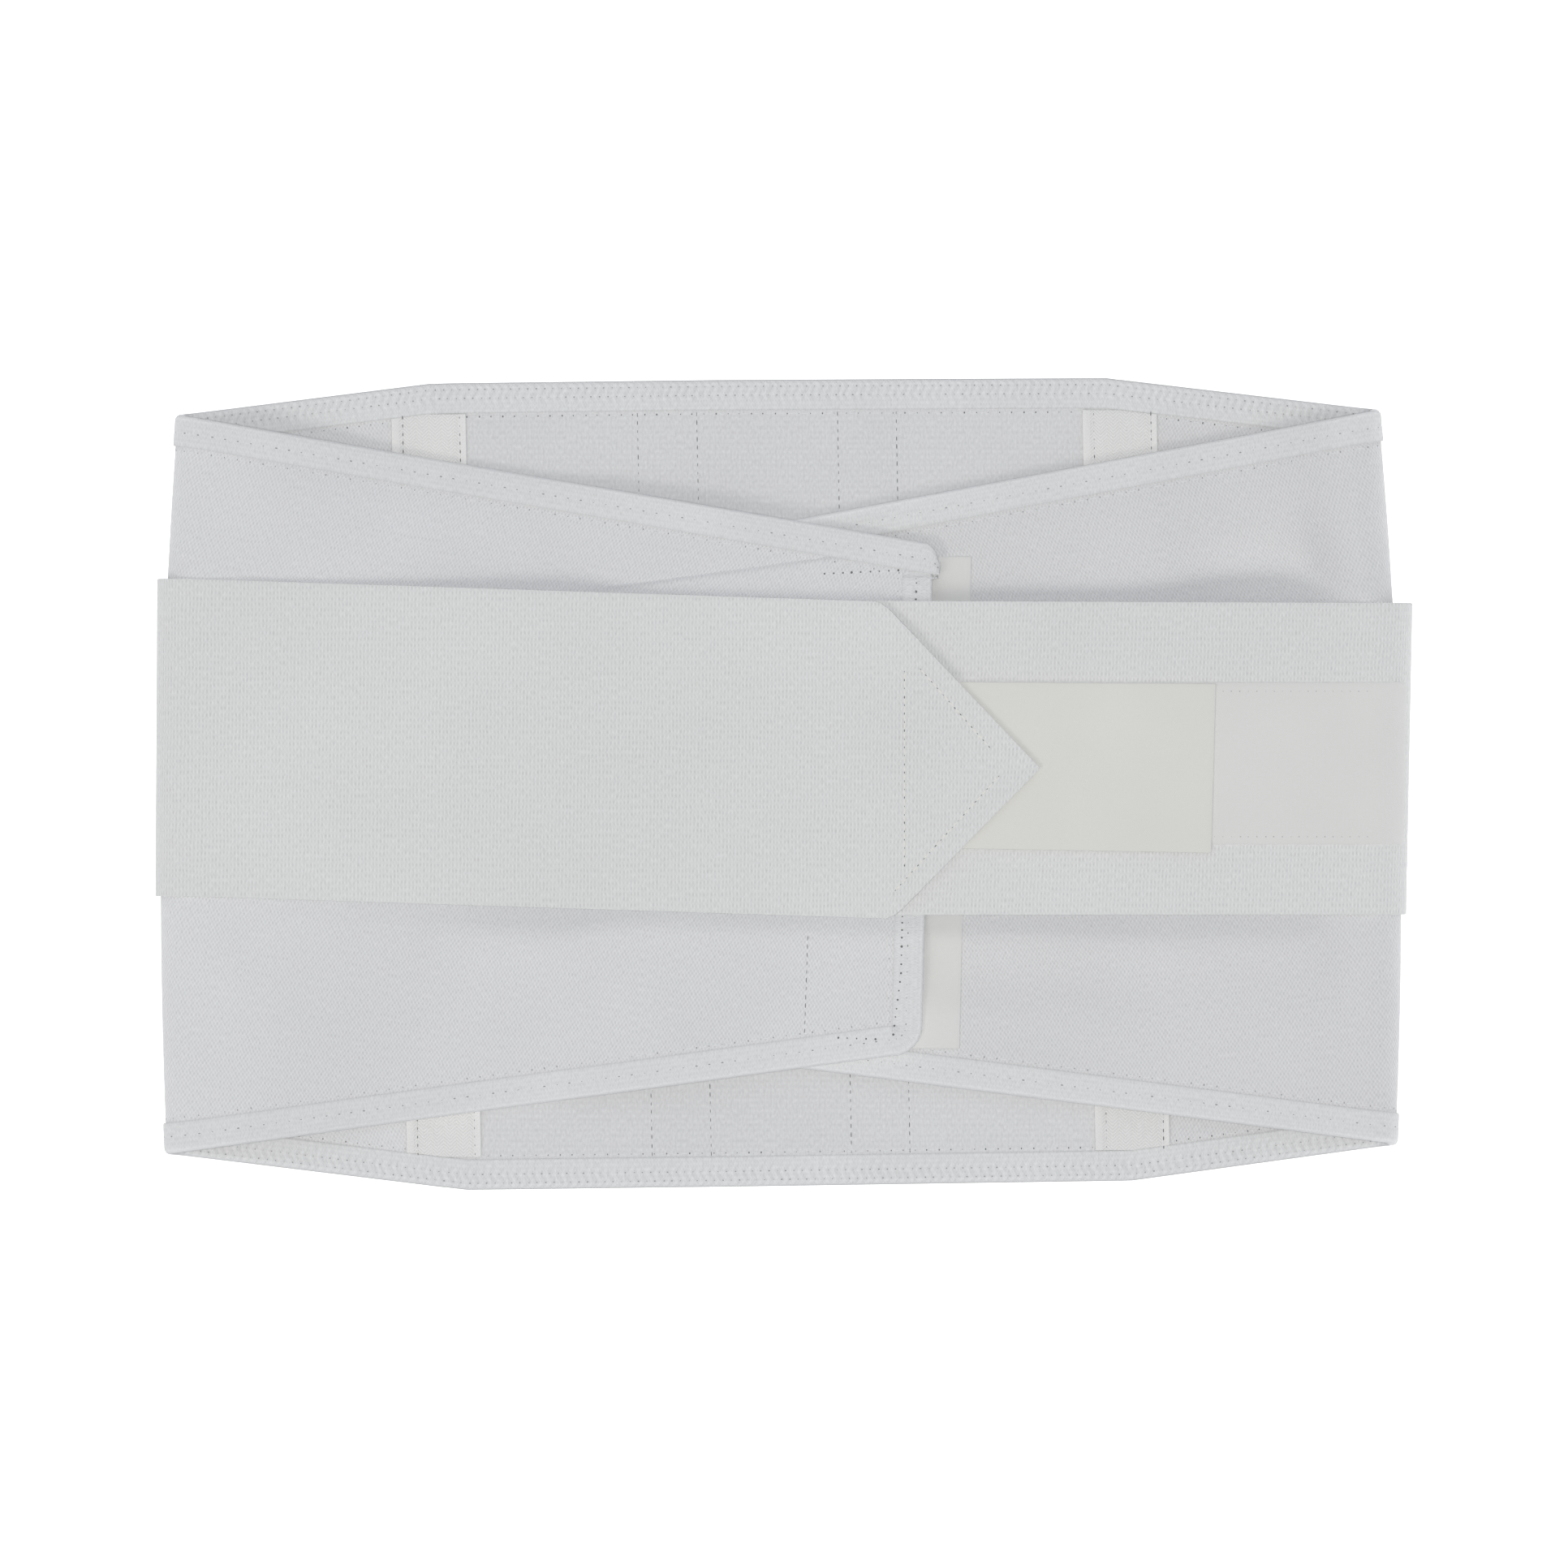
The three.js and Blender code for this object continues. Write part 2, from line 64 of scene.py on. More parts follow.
# Stitch rows of the bindings as distances in from the edge, the step between slanting gathers inside, the
# width of the tape, where its inside face starts across it, the middle and reach of the painted highlight on
# its turn, and how much and over what width its two lips thin out
OUTER_ROW = 5.1
OUTER_CLOTH_ROW = 10.7
INNER_ROW = 4.8
INNER_STEP = 2.7
INNER_CLOTH_ROW = 10.5
BINDING_FLAT = BINDING_REACH - BINDING_OUT
BINDING_WIDTH = 2 * BINDING_FLAT + math.pi * BINDING_OUT
INSIDE_START = BINDING_WIDTH - BINDING_REACH
TURN_MIDDLE = BINDING_WIDTH / 2
TURN_REACH = 0.5 * math.pi * BINDING_OUT
LIP_THIN = 0.15
LIP_REACH = 0.8

# Height of the middle of each cloth above the table, and how much the folds flatten towards their ends
BACK_LEVEL = 2.6
FOLD_RADIUS = 8.7
CREST = BACK_LEVEL + 2 * FOLD_RADIUS
FOLD_FLATTEN = 1.0
FLATTEN_ABOVE = (66.0, 114.0)
FLATTEN_BELOW = (-44.0, -112.0)
RIGHT_WING_LEVEL = 14.5
LEFT_WING_LEVEL = 19.6

# Straps: the round of their folds, the level that they lie on, and the rise of the tapes and the point
STRAP_FOLD_RADIUS = 10.7
STRAP_FOLD_CENTRE = STRAP / 2 + STRAP_FOLD_RADIUS
STRAP_CREST = STRAP / 2 + 2 * STRAP_FOLD_RADIUS
STRAP_ON_WING = 22.9 - SETTLE
PATCH_RISE = 1.4 - SETTLE
TAB_RISE = PATCH_RISE + TAPE + GAP - SETTLE
TIP_RISE = TAB_RISE + TAPE / 2 + STRAP / 2 + GAP - SETTLE

# Shares of a strap's length where its fold starts and stops, the rounding of its shoulders, its blunt
# point, and the curl of the point: height, reach in from the edges, start before the shoulder, and fade
STRAP_BACK_SHARE = 0.222
STRAP_FOLD_SHARE = 0.311
SHOULDER_ROUND = 3.0
TIP_BLUNT = 0.35
TIP_CURL = 1.3
TIP_CURL_REACH = 12.0
TIP_CURL_START = 2.0
TIP_CURL_FADE = 10.0

# Wing ends: rounding of the two corners, how far the top binding runs past the end, how far the end's
# binding is tucked in under it and how much it thins there, and where a wing leaves its fold
BOTTOM_CORNER = 9.5
TOP_CORNER_RUN = 4.5
TOP_CORNER_DROP = 7.6
TOP_TAIL = -2.0
END_TUCK = 0.7
END_THIN = 0.35
SLOPE_START = 173.0
RELIEF_START = 180.0
RELIEF_FADE = 20.0

Edge = namedtuple("Edge", "inward seam_u seam_y fold_u fold_y end_u end_y")
Wing = namedtuple("Wing", "side level level_from fold_u fold_y curve end_top end_bottom grain top bottom")
Strap = namedtuple("Strap", "side sewn_u reach fold_y shoulder_u shoulder_y tip_u tip_y heights")

LEFT_WING = Wing(
    side=-1, level=LEFT_WING_LEVEL, level_from=120.0, fold_u=191.9, fold_y=-28.5, curve=2.6e-4,
    end_top=-46.0, end_bottom=-42.4, grain=math.radians(-9),
    top=Edge(-1, seam_u=109.6, seam_y=123.4, fold_u=187.0, fold_y=113.7, end_u=-43.5, end_y=74.3),
    bottom=Edge(1, seam_u=104.8, seam_y=-124.4, fold_u=190.2, fold_y=-114.0, end_u=-33.5, end_y=-83.7),
)
RIGHT_WING = Wing(
    side=1, level=RIGHT_WING_LEVEL, level_from=62.0, fold_u=190.0, fold_y=-36.0, curve=3.1e-4,
    end_top=-46.0, end_bottom=-42.4, grain=math.radians(-7),
    top=Edge(-1, seam_u=103.4, seam_y=124.7, fold_u=183.5, fold_y=115.3, end_u=-43.5, end_y=72.6),
    bottom=Edge(1, seam_u=107.4, seam_y=-122.3, fold_u=189.7, fold_y=-111.0, end_u=-33.5, end_y=-82.7),
)

# Outline of the back panel: share from the left seam to the right seam, y of its top and bottom edge
BACK_SHARE = (0.0, 0.033, 0.415, 0.982, 1.0)
BACK_TOP = (123.4, 123.6, 124.6, 125.2, 124.7)
BACK_BOTTOM = (-124.4, -125.2, -124.2, -122.4, -122.3)

# Stay channels on the inside of the back: shares of their two stitch lines, rise and fullness of their
# crown, and how far from the edges it stops
STAY_CHANNELS = ((0.302, 0.388), (0.592, 0.677))
CHANNEL_RISE = 0.3
CHANNEL_FULLNESS = 0.8
CHANNEL_STOP = 12.3
CHANNEL_FADE = 4.0

# Straps: each pair is bottom, top, and heights are rows of x and z along the front
LEFT_STRAP = Strap(
    side=-1, sewn_u=98.0, reach=(193.55, 193.0), fold_y=(-34.4, 63.0),
    shoulder_u=(-33.5, -30.2), shoulder_y=(-41.3, 56.0), tip_u=-78.7, tip_y=4.8,
    heights=(
        (-182, STRAP_CREST),
        (-125, STRAP_CREST + 0.7),
        (-78, STRAP_ON_WING + STRAP + 0.45),
        (-20, STRAP_ON_WING + 2.4),
        (24, STRAP_ON_WING + TIP_RISE),
        (46, STRAP_ON_WING + TIP_RISE),
        (79, STRAP_ON_WING + TIP_RISE - 0.3),
    ),
)
RIGHT_STRAP = Strap(
    side=1, sewn_u=98.0, reach=(191.6, 193.55), fold_y=(-40.0, 55.6),
    shoulder_u=(-5.0, -30.2), shoulder_y=(-40.2, 56.5), tip_u=-78.0, tip_y=7.8,
    heights=(
        (-79, STRAP_ON_WING),
        (46, STRAP_ON_WING),
        (80, STRAP_ON_WING - 0.25),
        (130, STRAP_ON_WING - 0.55),
        (182, STRAP_CREST),
    ),
)

# Crease in the left wing where it comes down off the edge of the right wing below it: a point on it, its
# slope, its rise, half its width, its fade downwards, and u where it starts, is full, holds and stops
CREASE_U = 57.7
CREASE_Y = 58.8
CREASE_SLOPE = -0.141
CREASE_RISE = 1.0
CREASE_HALF = 0.5
CREASE_FADE = 26.0
CREASE_START, CREASE_FULL, CREASE_HOLD, CREASE_STOP = 76.0, 42.0, -12.0, -24.0

# Slow waves of each cloth: height, length along u, length along y, and phase
WING_WAVES = ((0.15, 17.0, 29.0, 0.0), (0.1, 9.5, -21.0, 1.3))
STRAP_WAVES = ((0.12, 14.0, 40.0, 0.0), (0.08, 6.5, -18.0, 0.0))
STRAP_WAVE_FADE = 30.0

# Fall of the free cloth of the wings beside the straps: rows of u and width of the steep band along a
# strap's top edge, width of the band along its bottom edge, rows of u and slope there, slope along the
# top edge, how far under the strap a band starts, and how far past the shoulders its straight edge is
# carried on
LEFT_FALL = ((-46, 1.6), (40, 1.6), (56, 3.4), (66, 4.6), (86, 4.2), (111, 2.6), (141, 1.6), (191, 1.0))
RIGHT_FALL = (
    (-46, 3.0), (58, 4.0), (100, 4.6), (118, 6.6), (130, 11.0), (140, 13.2), (150, 12.8), (160, 9.4),
    (170, 5.4), (178, 2.5), (190, 1.0),
)
BELOW_FALL = 9.5
LEFT_BELOW_SLOPE = ((-46, 0.74), (86, 0.74), (118, 0.3), (191, 0.2))
RIGHT_BELOW_SLOPE = ((-46, 0.7), (150, 0.7), (191, 0.4))
LEFT_FALL_SLOPE = 0.88
RIGHT_FALL_SLOPE = 1.1
FALL_TUCK = 1.0
SHOULDER_PAST = 6.0

# Share of a band that falls straight, how softly the rest levels out, and how much of the fall the cloth
# makes up again further out
FALL_STRAIGHT = 0.6
FALL_SOFT = 0.5
FALL_REGAIN = 0.7
FALL_REGAIN_REACH = 30.0

# Slight slope from a strap to the free edge, the left wing's along its top, and over what length it grows
# from the fold
DRAPE = 0.23
LEFT_TOP_DRAPE = 0.3
DRAPE_FADE = 85.0

# Least height of the wings over what lies below them: the right one's free cloth and its dent beside the
# strap, the left one's on the back and, from a place along it on, over the right wing
LEAST_RIGHT = 9.9
LEAST_DENT = 6.0
DENT_REACH = 14.0
DENT_FADE = 20.0
LEAST_LEFT = 6.7
LEAST_ON_WING = 13.8
ON_WING_FROM = 78.0
ON_WING_FADE = 32.0
LEAST_BLEND = 4.0

# Sewn box that holds the hook strip under the end of the left wing: x and y along its inner side, its
# step, and x, y along its other stitch rows
BOX_Y = (-77.3, -41.5, 65.8)
BOX_X = (6.3, 7.5, 10.8)
BOX_RISE = 0.3
BOX_STEP = 1.5
BOX_TOP_ROW = ((11.0, 64.6), (36.5, 65.8))
BOX_BOTTOM_ROW = ((15.2, -78.0), (30.0, -78.6))
BOX_OUTER_ROW = ((40.8, 63.2), (37.5, -20.0), (36.4, -41.0), (36.0, -58.5), (34.5, -70.0), (33.4, -79.0))

# Cream tapes on the inside of the back: width, where the smooth selvedge starts, the rise, start and
# reach of the curl of the long edges, the waves along the tape, and stitch rows as distances to the left
# of the seam
STAY_TAPE_WIDTH = 23.0
STAY_TAPE_SELVEDGE = 9.2
STAY_TAPE_CURL = 0.9
STAY_CURL_FROM = 7.5
STAY_CURL_REACH = 4.0
STAY_TAPE_WAVES = ((0.12, 7.0, 5.0, 0.0),)
STAY_TAPE_ROWS = (8.0, -9.6)

# Stitch rows of the left strap's point: one across it and two along its edges
TIP_ROWS = (
    ((37.0, 35.8), (37.0, -26.5)),
    ((41.0, 36.3), (64.0, 10.3)),
    ((66.8, 3.3), (33.0, -34.0)),
)

# Fastening tapes: pairs run from left to right or from bottom to top. The loop patch goes a little way
# round the fold of the right strap, is thinner at its rim, and has a stitch row along each long edge
HOOK_TAB_LEFT = 26.0
HOOK_TAB_RIGHT = (131.3, 132.7)
HOOK_TAB_BOTTOM = (-19.3, -21.2)
HOOK_TAB_TOP = (31.6, 30.8)
LOOP_PATCH_LEFT = 12.0
LOOP_PATCH_Y = (-18.5, 31.2)
LOOP_PATCH_TURN = math.radians(54)
LOOP_PATCH_RIM = 3.0
LOOP_PATCH_THIN = 0.3
LOOP_ROWS_Y = (28.5, -16.2)
LOOP_ROWS_X = (LOOP_PATCH_LEFT + 2, 181.0)
HOOK_STRIP_RIGHT = (54.0, 57.7)
HOOK_STRIP_WIDTH = 20.0
HOOK_STRIP_Y = (-81.5, 70.0)

# Stitching: step between the points of a stitch line, and pitch of each kind of row
LINE_STEP = 0.5
NEEDLE_PITCH = 4.0
INSIDE_PITCH = 3.65
LOCK_PITCH = 2.6
BOX_PITCH = 2.75
SELVEDGE_PITCH = 1.12

# Gathers on the inside of the bindings: pitch, depth, how much they calm down past the inner row, how far
# past it and over what distance, their sway, where they fade out at turn and lip, and grid columns each
GATHER_PITCH = 2.6
GATHER_DEPTH = 0.24
GATHER_CALM = 0.65
GATHER_END = 0.7
GATHER_FADE = 1.4
GATHER_SWAY = ((0.09, 5.3, 1.0, 0.0), (0.07, 2.3, -1.0, 0.0))
GATHER_TURN = 1.5
GATHER_LIP = 1.2
COLUMNS_A_GATHER = 5

# Dimples of the needle row on the outside of the bindings: depth, and reach to both sides of the row
DIMPLE_DEPTH = 0.16
DIMPLE_REACH = 0.8

# Photograph: side of the square frame as it measures on the belt, lens, and the level that it is sharp on
FRAME_SIDE = 483.0
LENS = 500.0
SENSOR = 36.0
FRAME_LEVEL = 8.0


# Shapes worked out from the sizes above

def mix(a, b, t):
    return a + (b - a) * t


def ease(t):
    t = np.clip(t, 0.0, 1.0)
    return t * t * (3 - 2 * t)


def soft_least(a, b, blend):
    """The smaller of a and b, with the corner between them rounded over the length blend."""
    h = np.clip(0.5 + 0.5 * (b - a) / blend, 0.0, 1.0)
    return mix(b, a, h) - blend * h * (1 - h)


def slow_waves(waves, u, v):
    """Sum of waves, each given as height, length along u, length along v, and phase."""
    return sum(rise * np.sin(u / along + v / across + phase) for rise, along, across, phase in waves)


def height_along(rows, x):
    """Height at x on a smooth curve through rows of x and z."""
    knots = np.array(rows, float)
    kx, kz = knots[:, 0], knots[:, 1]
    slope = np.empty_like(kz)
    slope[1:-1] = (kz[2:] - kz[:-2]) / (kx[2:] - kx[:-2])
    slope[0] = (kz[1] - kz[0]) / (kx[1] - kx[0])
    slope[-1] = (kz[-1] - kz[-2]) / (kx[-1] - kx[-2])
    x = np.clip(x, kx[0], kx[-1])
    i = np.clip(np.searchsorted(kx, x, side="right") - 1, 0, len(kx) - 2)
    span = kx[i + 1] - kx[i]
    t = (x - kx[i]) / span
    leave = t * (1 - t) ** 2 * span * slope[i]
    arrive = t ** 2 * (1 - t) * span * slope[i + 1]
    return mix(kz[i], kz[i + 1], ease(t)) + leave - arrive


def seam_u(wing, y):
    share = (y - wing.bottom.fold_y) / (wing.top.fold_y - wing.bottom.fold_y)
    return mix(wing.bottom.seam_u, wing.top.seam_u, share)


def wing_end_u(wing, y):
    share = (y - wing.bottom.end_y) / (wing.top.end_y - wing.bottom.end_y)
    return mix(wing.end_bottom, wing.end_top, share)


def fold_radius(y):
    above = ease((y - FLATTEN_ABOVE[0]) / (FLATTEN_ABOVE[1] - FLATTEN_ABOVE[0]))
    below = ease((y - FLATTEN_BELOW[0]) / (FLATTEN_BELOW[1] - FLATTEN_BELOW[0]))
    return FOLD_RADIUS - FOLD_FLATTEN * np.maximum(above, below)


def fold_axis_u(wing, y):
    return wing.fold_u - wing.curve * (y - wing.fold_y) ** 2 - fold_radius(y) - CLOTH / 2


def wing_u(wing, run, y, n=0.0, stop=EDGE_INSET):
    """u on a wing. run goes 0 to 1 along the back, 1 to 2 round the fold, 2 to 3 along the front."""
    axis = fold_axis_u(wing, y)
    back = mix(seam_u(wing, y) + GAP / 2, axis, np.clip(run, 0, 1))
    fold = axis + (fold_radius(y) + n) * np.sin(np.pi * np.clip(run - 1, 0, 1))
    front = mix(axis, wing_end_u(wing, y) + stop, np.clip(run - 2, 0, 1))
    return np.where(run <= 1, back, np.where(run < 2, fold, front))


def crease_y(u):
    return CREASE_Y + CREASE_SLOPE * (u - CREASE_U)


def crease_lift(u, y):
    """The left wing stands higher below the crease, and the height fades out further down."""
    begin = ease((CREASE_START - u) / (CREASE_START - CREASE_FULL))
    finish = ease((CREASE_HOLD - u) / (CREASE_HOLD - CREASE_STOP))
    below = crease_y(u) - y
    step = ease((below + CREASE_HALF) / (2 * CREASE_HALF))
    return CREASE_RISE * begin * (1 - finish) * step * (1 - ease(below / CREASE_FADE))


def fall_beside(distance, width, slope):
    """Fall of cloth at a distance from the strap's edge: a steep band, then level, then slowly up again."""
    share = np.maximum(distance, 0.0) / width
    past = np.maximum(share - FALL_STRAIGHT, 0.0)
    levelling = FALL_STRAIGHT + FALL_SOFT * (1 - np.exp(-past / FALL_SOFT))
    band = np.where(share < FALL_STRAIGHT, share, levelling)
    regain = FALL_REGAIN * ease((distance - width) / FALL_REGAIN_REACH)
    return slope * width * (band - regain)


def held_edges(strap, u):
    """y of the two edges of a strap where it holds its wing, carried on straight past its shoulders."""
    straight_u = np.maximum(u, max(strap.shoulder_u) + SHOULDER_PAST)
    return strap_edge_y(strap, 0, straight_u), strap_edge_y(strap, 1, straight_u)


def wing_fall(wing, u, y):
    """How far the free cloth of a wing falls beside the strap that holds it up, and slopes on to its edge."""
    left = wing.side < 0
    knots = np.array(LEFT_FALL if left else RIGHT_FALL)
    width = np.interp(u, knots[:, 0], knots[:, 1])
    low, high = held_edges(LEFT_STRAP if left else RIGHT_STRAP, u)
    above = y - high + FALL_TUCK
    below = low - y + FALL_TUCK
    slopes = np.array(LEFT_BELOW_SLOPE if left else RIGHT_BELOW_SLOPE)
    beside = fall_beside(below, BELOW_FALL, np.interp(u, slopes[:, 0], slopes[:, 1]))
    top_slope = LEFT_FALL_SLOPE if left else RIGHT_FALL_SLOPE
    fall = np.where(above > 0, fall_beside(above, width, top_slope), beside)
    drape = np.where(above > 0, LEFT_TOP_DRAPE if left else DRAPE, DRAPE)
    slope = drape * ease((RELIEF_START - u) / DRAPE_FADE)
    return fall + slope * np.maximum(np.maximum(above, below), 0.0)


def wing_relief(wing, u, y):
    """Soft relief of a wing's front: its fall beside the strap, slow waves, the crease and the sewn box."""
    lift = slow_waves(WING_WAVES, u, y) - wing_fall(wing, u, y)
    if wing.side < 0:
        lift = lift + crease_lift(u, y)
        lift = lift + BOX_RISE * ease((-u - np.interp(y, BOX_Y, BOX_X)) / BOX_STEP)
    flattened = 2 * (fold_radius(y) - FOLD_RADIUS)
    return mix(flattened, lift, ease((RELIEF_START - u) / RELIEF_FADE))


def wing_level(wing, u, y):
    """Height of the middle of a wing on its front."""
    slope = ease((SLOPE_START - u) / (SLOPE_START - wing.level_from))
    level = mix(CREST, wing.level, slope) + wing_relief(wing, u, y)
    if wing.side < 0:
        least = mix(LEAST_LEFT, LEAST_ON_WING, ease((ON_WING_FROM - u) / ON_WING_FADE))
    else:
        low, high = held_edges(RIGHT_STRAP, u)
        free = np.maximum(y - high, low - y)
        least = mix(LEAST_DENT, LEAST_RIGHT, ease((free - DENT_REACH) / DENT_FADE))
    return -soft_least(-level, -least, LEAST_BLEND)


def wing_point(wing, run, y, n=0.0, stop=EDGE_INSET):
    run, y, n = np.broadcast_arrays(np.asarray(run, float), y, n)
    u = wing_u(wing, run, y, n, stop)
    turn = np.pi * np.clip(run - 1, 0, 1)
    radius = fold_radius(y)
    fold_z = BACK_LEVEL + radius - (radius + n) * np.cos(turn)
    front_z = wing_level(wing, u, y) + n
    z = np.where(run <= 1, BACK_LEVEL - n, np.where(run < 2, fold_z, front_z))
    return np.stack([wing.side * u, y, z], axis=-1)


def edge_line_y(wing, edge, run, stop=EDGE_INSET):
    """y of a wing's finished edge, before a corner is rounded."""
    y = np.full_like(np.asarray(run, float), edge.fold_y)
    for _ in range(4):
        u = wing_u(wing, run, y, 0.0, stop)
        to_seam = (edge.fold_u - u) / (edge.fold_u - edge.seam_u)
        to_end = (edge.fold_u - u) / (edge.fold_u - edge.end_u)
        behind = mix(edge.fold_y, edge.seam_y, to_seam)
        ahead = mix(edge.fold_y, edge.end_y, to_end)
        y = np.where(run < 1.5, behind, ahead)
    return y


def corner_drop(radius, inset):
    """How far a corner of a radius draws an edge in, at an inset from the end."""
    inside = np.clip(radius - inset, 0.0, radius)
    return radius - np.sqrt(radius ** 2 - inside ** 2)


def back_x(share, y):
    left = -seam_u(LEFT_WING, y) + GAP / 2
    right = seam_u(RIGHT_WING, y) - GAP / 2
    return mix(left, right, share)


def channel_rise(share, y):
    """Crown of the stay channels on the inside of the back."""
    rise = 0.0
    for start, stop in STAY_CHANNELS:
        across = np.clip((share - start) / (stop - start), 0, 1)
        rise = rise + CHANNEL_RISE * np.sin(np.pi * across) ** CHANNEL_FULLNESS
    top = np.interp(share, BACK_SHARE, BACK_TOP)
    bottom = np.interp(share, BACK_SHARE, BACK_BOTTOM)
    room = np.minimum(top - y, y - bottom)
    return rise * ease((room - CHANNEL_STOP) / CHANNEL_FADE)


def strap_axis_u(strap, y):
    share = (y - strap.fold_y[0]) / (strap.fold_y[1] - strap.fold_y[0])
    return mix(strap.reach[0], strap.reach[1], share) - STRAP_FOLD_RADIUS - STRAP / 2


def strap_edge_y(strap, side, u):
    """y of a strap's bottom (side 0) or top (side 1) edge on the front, with the shoulder rounded."""
    axis = strap.reach[side] - STRAP_FOLD_RADIUS - STRAP / 2
    shoulder_u, shoulder_y, fold_y = strap.shoulder_u[side], strap.shoulder_y[side], strap.fold_y[side]
    straight = mix(fold_y, shoulder_y, (axis - u) / (axis - shoulder_u))
    pointed = mix(shoulder_y, strap.tip_y, (shoulder_u - u) / (shoulder_u - strap.tip_u))
    if side:
        return soft_least(straight, pointed, SHOULDER_ROUND)
    return -soft_least(-straight, -pointed, SHOULDER_ROUND)


def strap_relief(strap, u, y):
    """Slow waves along a strap, and the slight curl of the outer strap's point along its edges."""
    lift = slow_waves(STRAP_WAVES, u, y) * ease((SLOPE_START - u) / STRAP_WAVE_FADE)
    if strap.side < 0:
        inside = np.minimum(y - strap_edge_y(strap, 0, u), strap_edge_y(strap, 1, u) - y)
        pointed = ease((max(strap.shoulder_u) + TIP_CURL_START - u) / TIP_CURL_FADE)
        lift = lift + TIP_CURL * pointed * ease((TIP_CURL_REACH - inside) / TIP_CURL_REACH)
    return lift


def strap_front_z(strap, x, y):
    return height_along(strap.heights, x) + strap_relief(strap, strap.side * x, y)


def strap_point(strap, along, across):
    """A strap from its sewn end (along 0) round its fold to its point (along 1)."""
    fold_y = mix(strap.fold_y[0], strap.fold_y[1], across)
    axis = strap_axis_u(strap, fold_y)
    back = np.clip(along / STRAP_BACK_SHARE, 0, 1)
    turn = np.pi * np.clip((along - STRAP_BACK_SHARE) / (STRAP_FOLD_SHARE - STRAP_BACK_SHARE), 0, 1)
    front = np.clip((along - STRAP_FOLD_SHARE) / (1 - STRAP_FOLD_SHARE), 0, 1)
    front_u = mix(axis, strap.tip_u + TIP_BLUNT, front)
    front_y = mix(strap_edge_y(strap, 0, front_u), strap_edge_y(strap, 1, front_u), across)
    on_back = along <= STRAP_BACK_SHARE
    on_fold = along < STRAP_FOLD_SHARE
    fold_u = axis + STRAP_FOLD_RADIUS * np.sin(turn)
    u = np.where(on_back, mix(strap.sewn_u, axis, back), np.where(on_fold, fold_u, front_u))
    y = np.where(on_fold, fold_y, front_y)
    front_z = strap_front_z(strap, strap.side * front_u, front_y)
    fold_z = STRAP_FOLD_CENTRE - STRAP_FOLD_RADIUS * np.cos(turn)
    z = np.where(on_back, STRAP / 2, np.where(on_fold, fold_z, front_z))
    return np.stack([strap.side * u, y, z], axis=-1)


# Edges that the bindings follow, leg after leg

class EdgeTrack:
    """Legs of a bound edge, end to end. Each leg gives points from its share, d and n."""

    SAMPLES = 600

    def __init__(self, *legs):
        self.legs = legs
        self.share = np.linspace(0, 1, self.SAMPLES + 1)
        self.runs = [self._lengths(leg) for leg in legs]
        self.starts = np.concatenate([[0], np.cumsum([run[-1] for run in self.runs])])
        self.length = self.starts[-1]

    def _lengths(self, leg):
        line = leg(self.share, np.zeros_like(self.share), np.zeros_like(self.share))
        steps = np.linalg.norm(np.diff(line, axis=0), axis=1)
        return np.concatenate([[0], np.cumsum(steps)])

    def point(self, run, d, n):
        run, d, n = np.broadcast_arrays(np.clip(run, 0, self.length), d, n)
        which = np.clip(np.searchsorted(self.starts, run, side="right") - 1, 0, len(self.legs) - 1)
        points = np.empty(run.shape + (3,))
        for i, leg in enumerate(self.legs):
            here = which == i
            share = np.interp(run[here] - self.starts[i], self.runs[i], self.share)
            points[here] = leg(share, d[here], n[here])
        return points


def wing_edge_point(wing, edge, run, d, n, stop):
    line = edge_line_y(wing, edge, run, stop)
    y = line + edge.inward * d
    if stop == TOP_TAIL:
        inset = wing_u(wing, run, line, 0.0, stop) - wing_end_u(wing, line)
        past = np.clip((TOP_CORNER_RUN + TOP_TAIL - inset) / TOP_CORNER_RUN, 0, 1)
        drop = np.where(run > 2, TOP_CORNER_DROP * (1 - np.sqrt(1 - past ** 2)), 0.0)
        y = line + edge.inward * (drop + d * (1 - drop / BINDING_REACH))
    return wing_point(wing, run, y, n, stop)


def back_edge_point(heights, inward, share, d, n):
    y = np.interp(share, BACK_SHARE, heights) + inward * d
    return np.stack([back_x(share, y), y, BACK_LEVEL - n], axis=-1)


def corner_centre(wing):
    """u and y of the centre of a wing's rounded bottom corner."""
    line = float(edge_line_y(wing, wing.bottom, np.array([3.0]), BOTTOM_CORNER)[0])
    y = line + BOTTOM_CORNER
    return wing_end_u(wing, y) + BOTTOM_CORNER, y


def corner_point(wing, share, d, n):
    centre_u, centre_y = corner_centre(wing)
    reach = BOTTOM_CORNER - np.minimum(d, BOTTOM_CORNER)
    turn = share * np.pi / 2
    u = centre_u - reach * np.sin(turn)
    y = centre_y - reach * np.cos(turn)
    return np.stack([wing.side * u, y, wing_level(wing, u, y) + n], axis=-1)


def end_point(wing, share, d, n):
    """The straight end of a wing, from the bottom corner up to where it runs in under the top binding."""
    centre_y = corner_centre(wing)[1]
    top = float(edge_line_y(wing, wing.top, np.array([3.0]), 0.0)[0]) - BINDING_REACH + END_TUCK
    y = mix(centre_y, top, share)
    u = wing_end_u(wing, y) + d
    tucked = 1 - END_THIN * ease((y - top + 3 * END_TUCK) / (2 * END_TUCK))
    return np.stack([wing.side * u, y, wing_level(wing, u, y) + n * tucked], axis=-1)


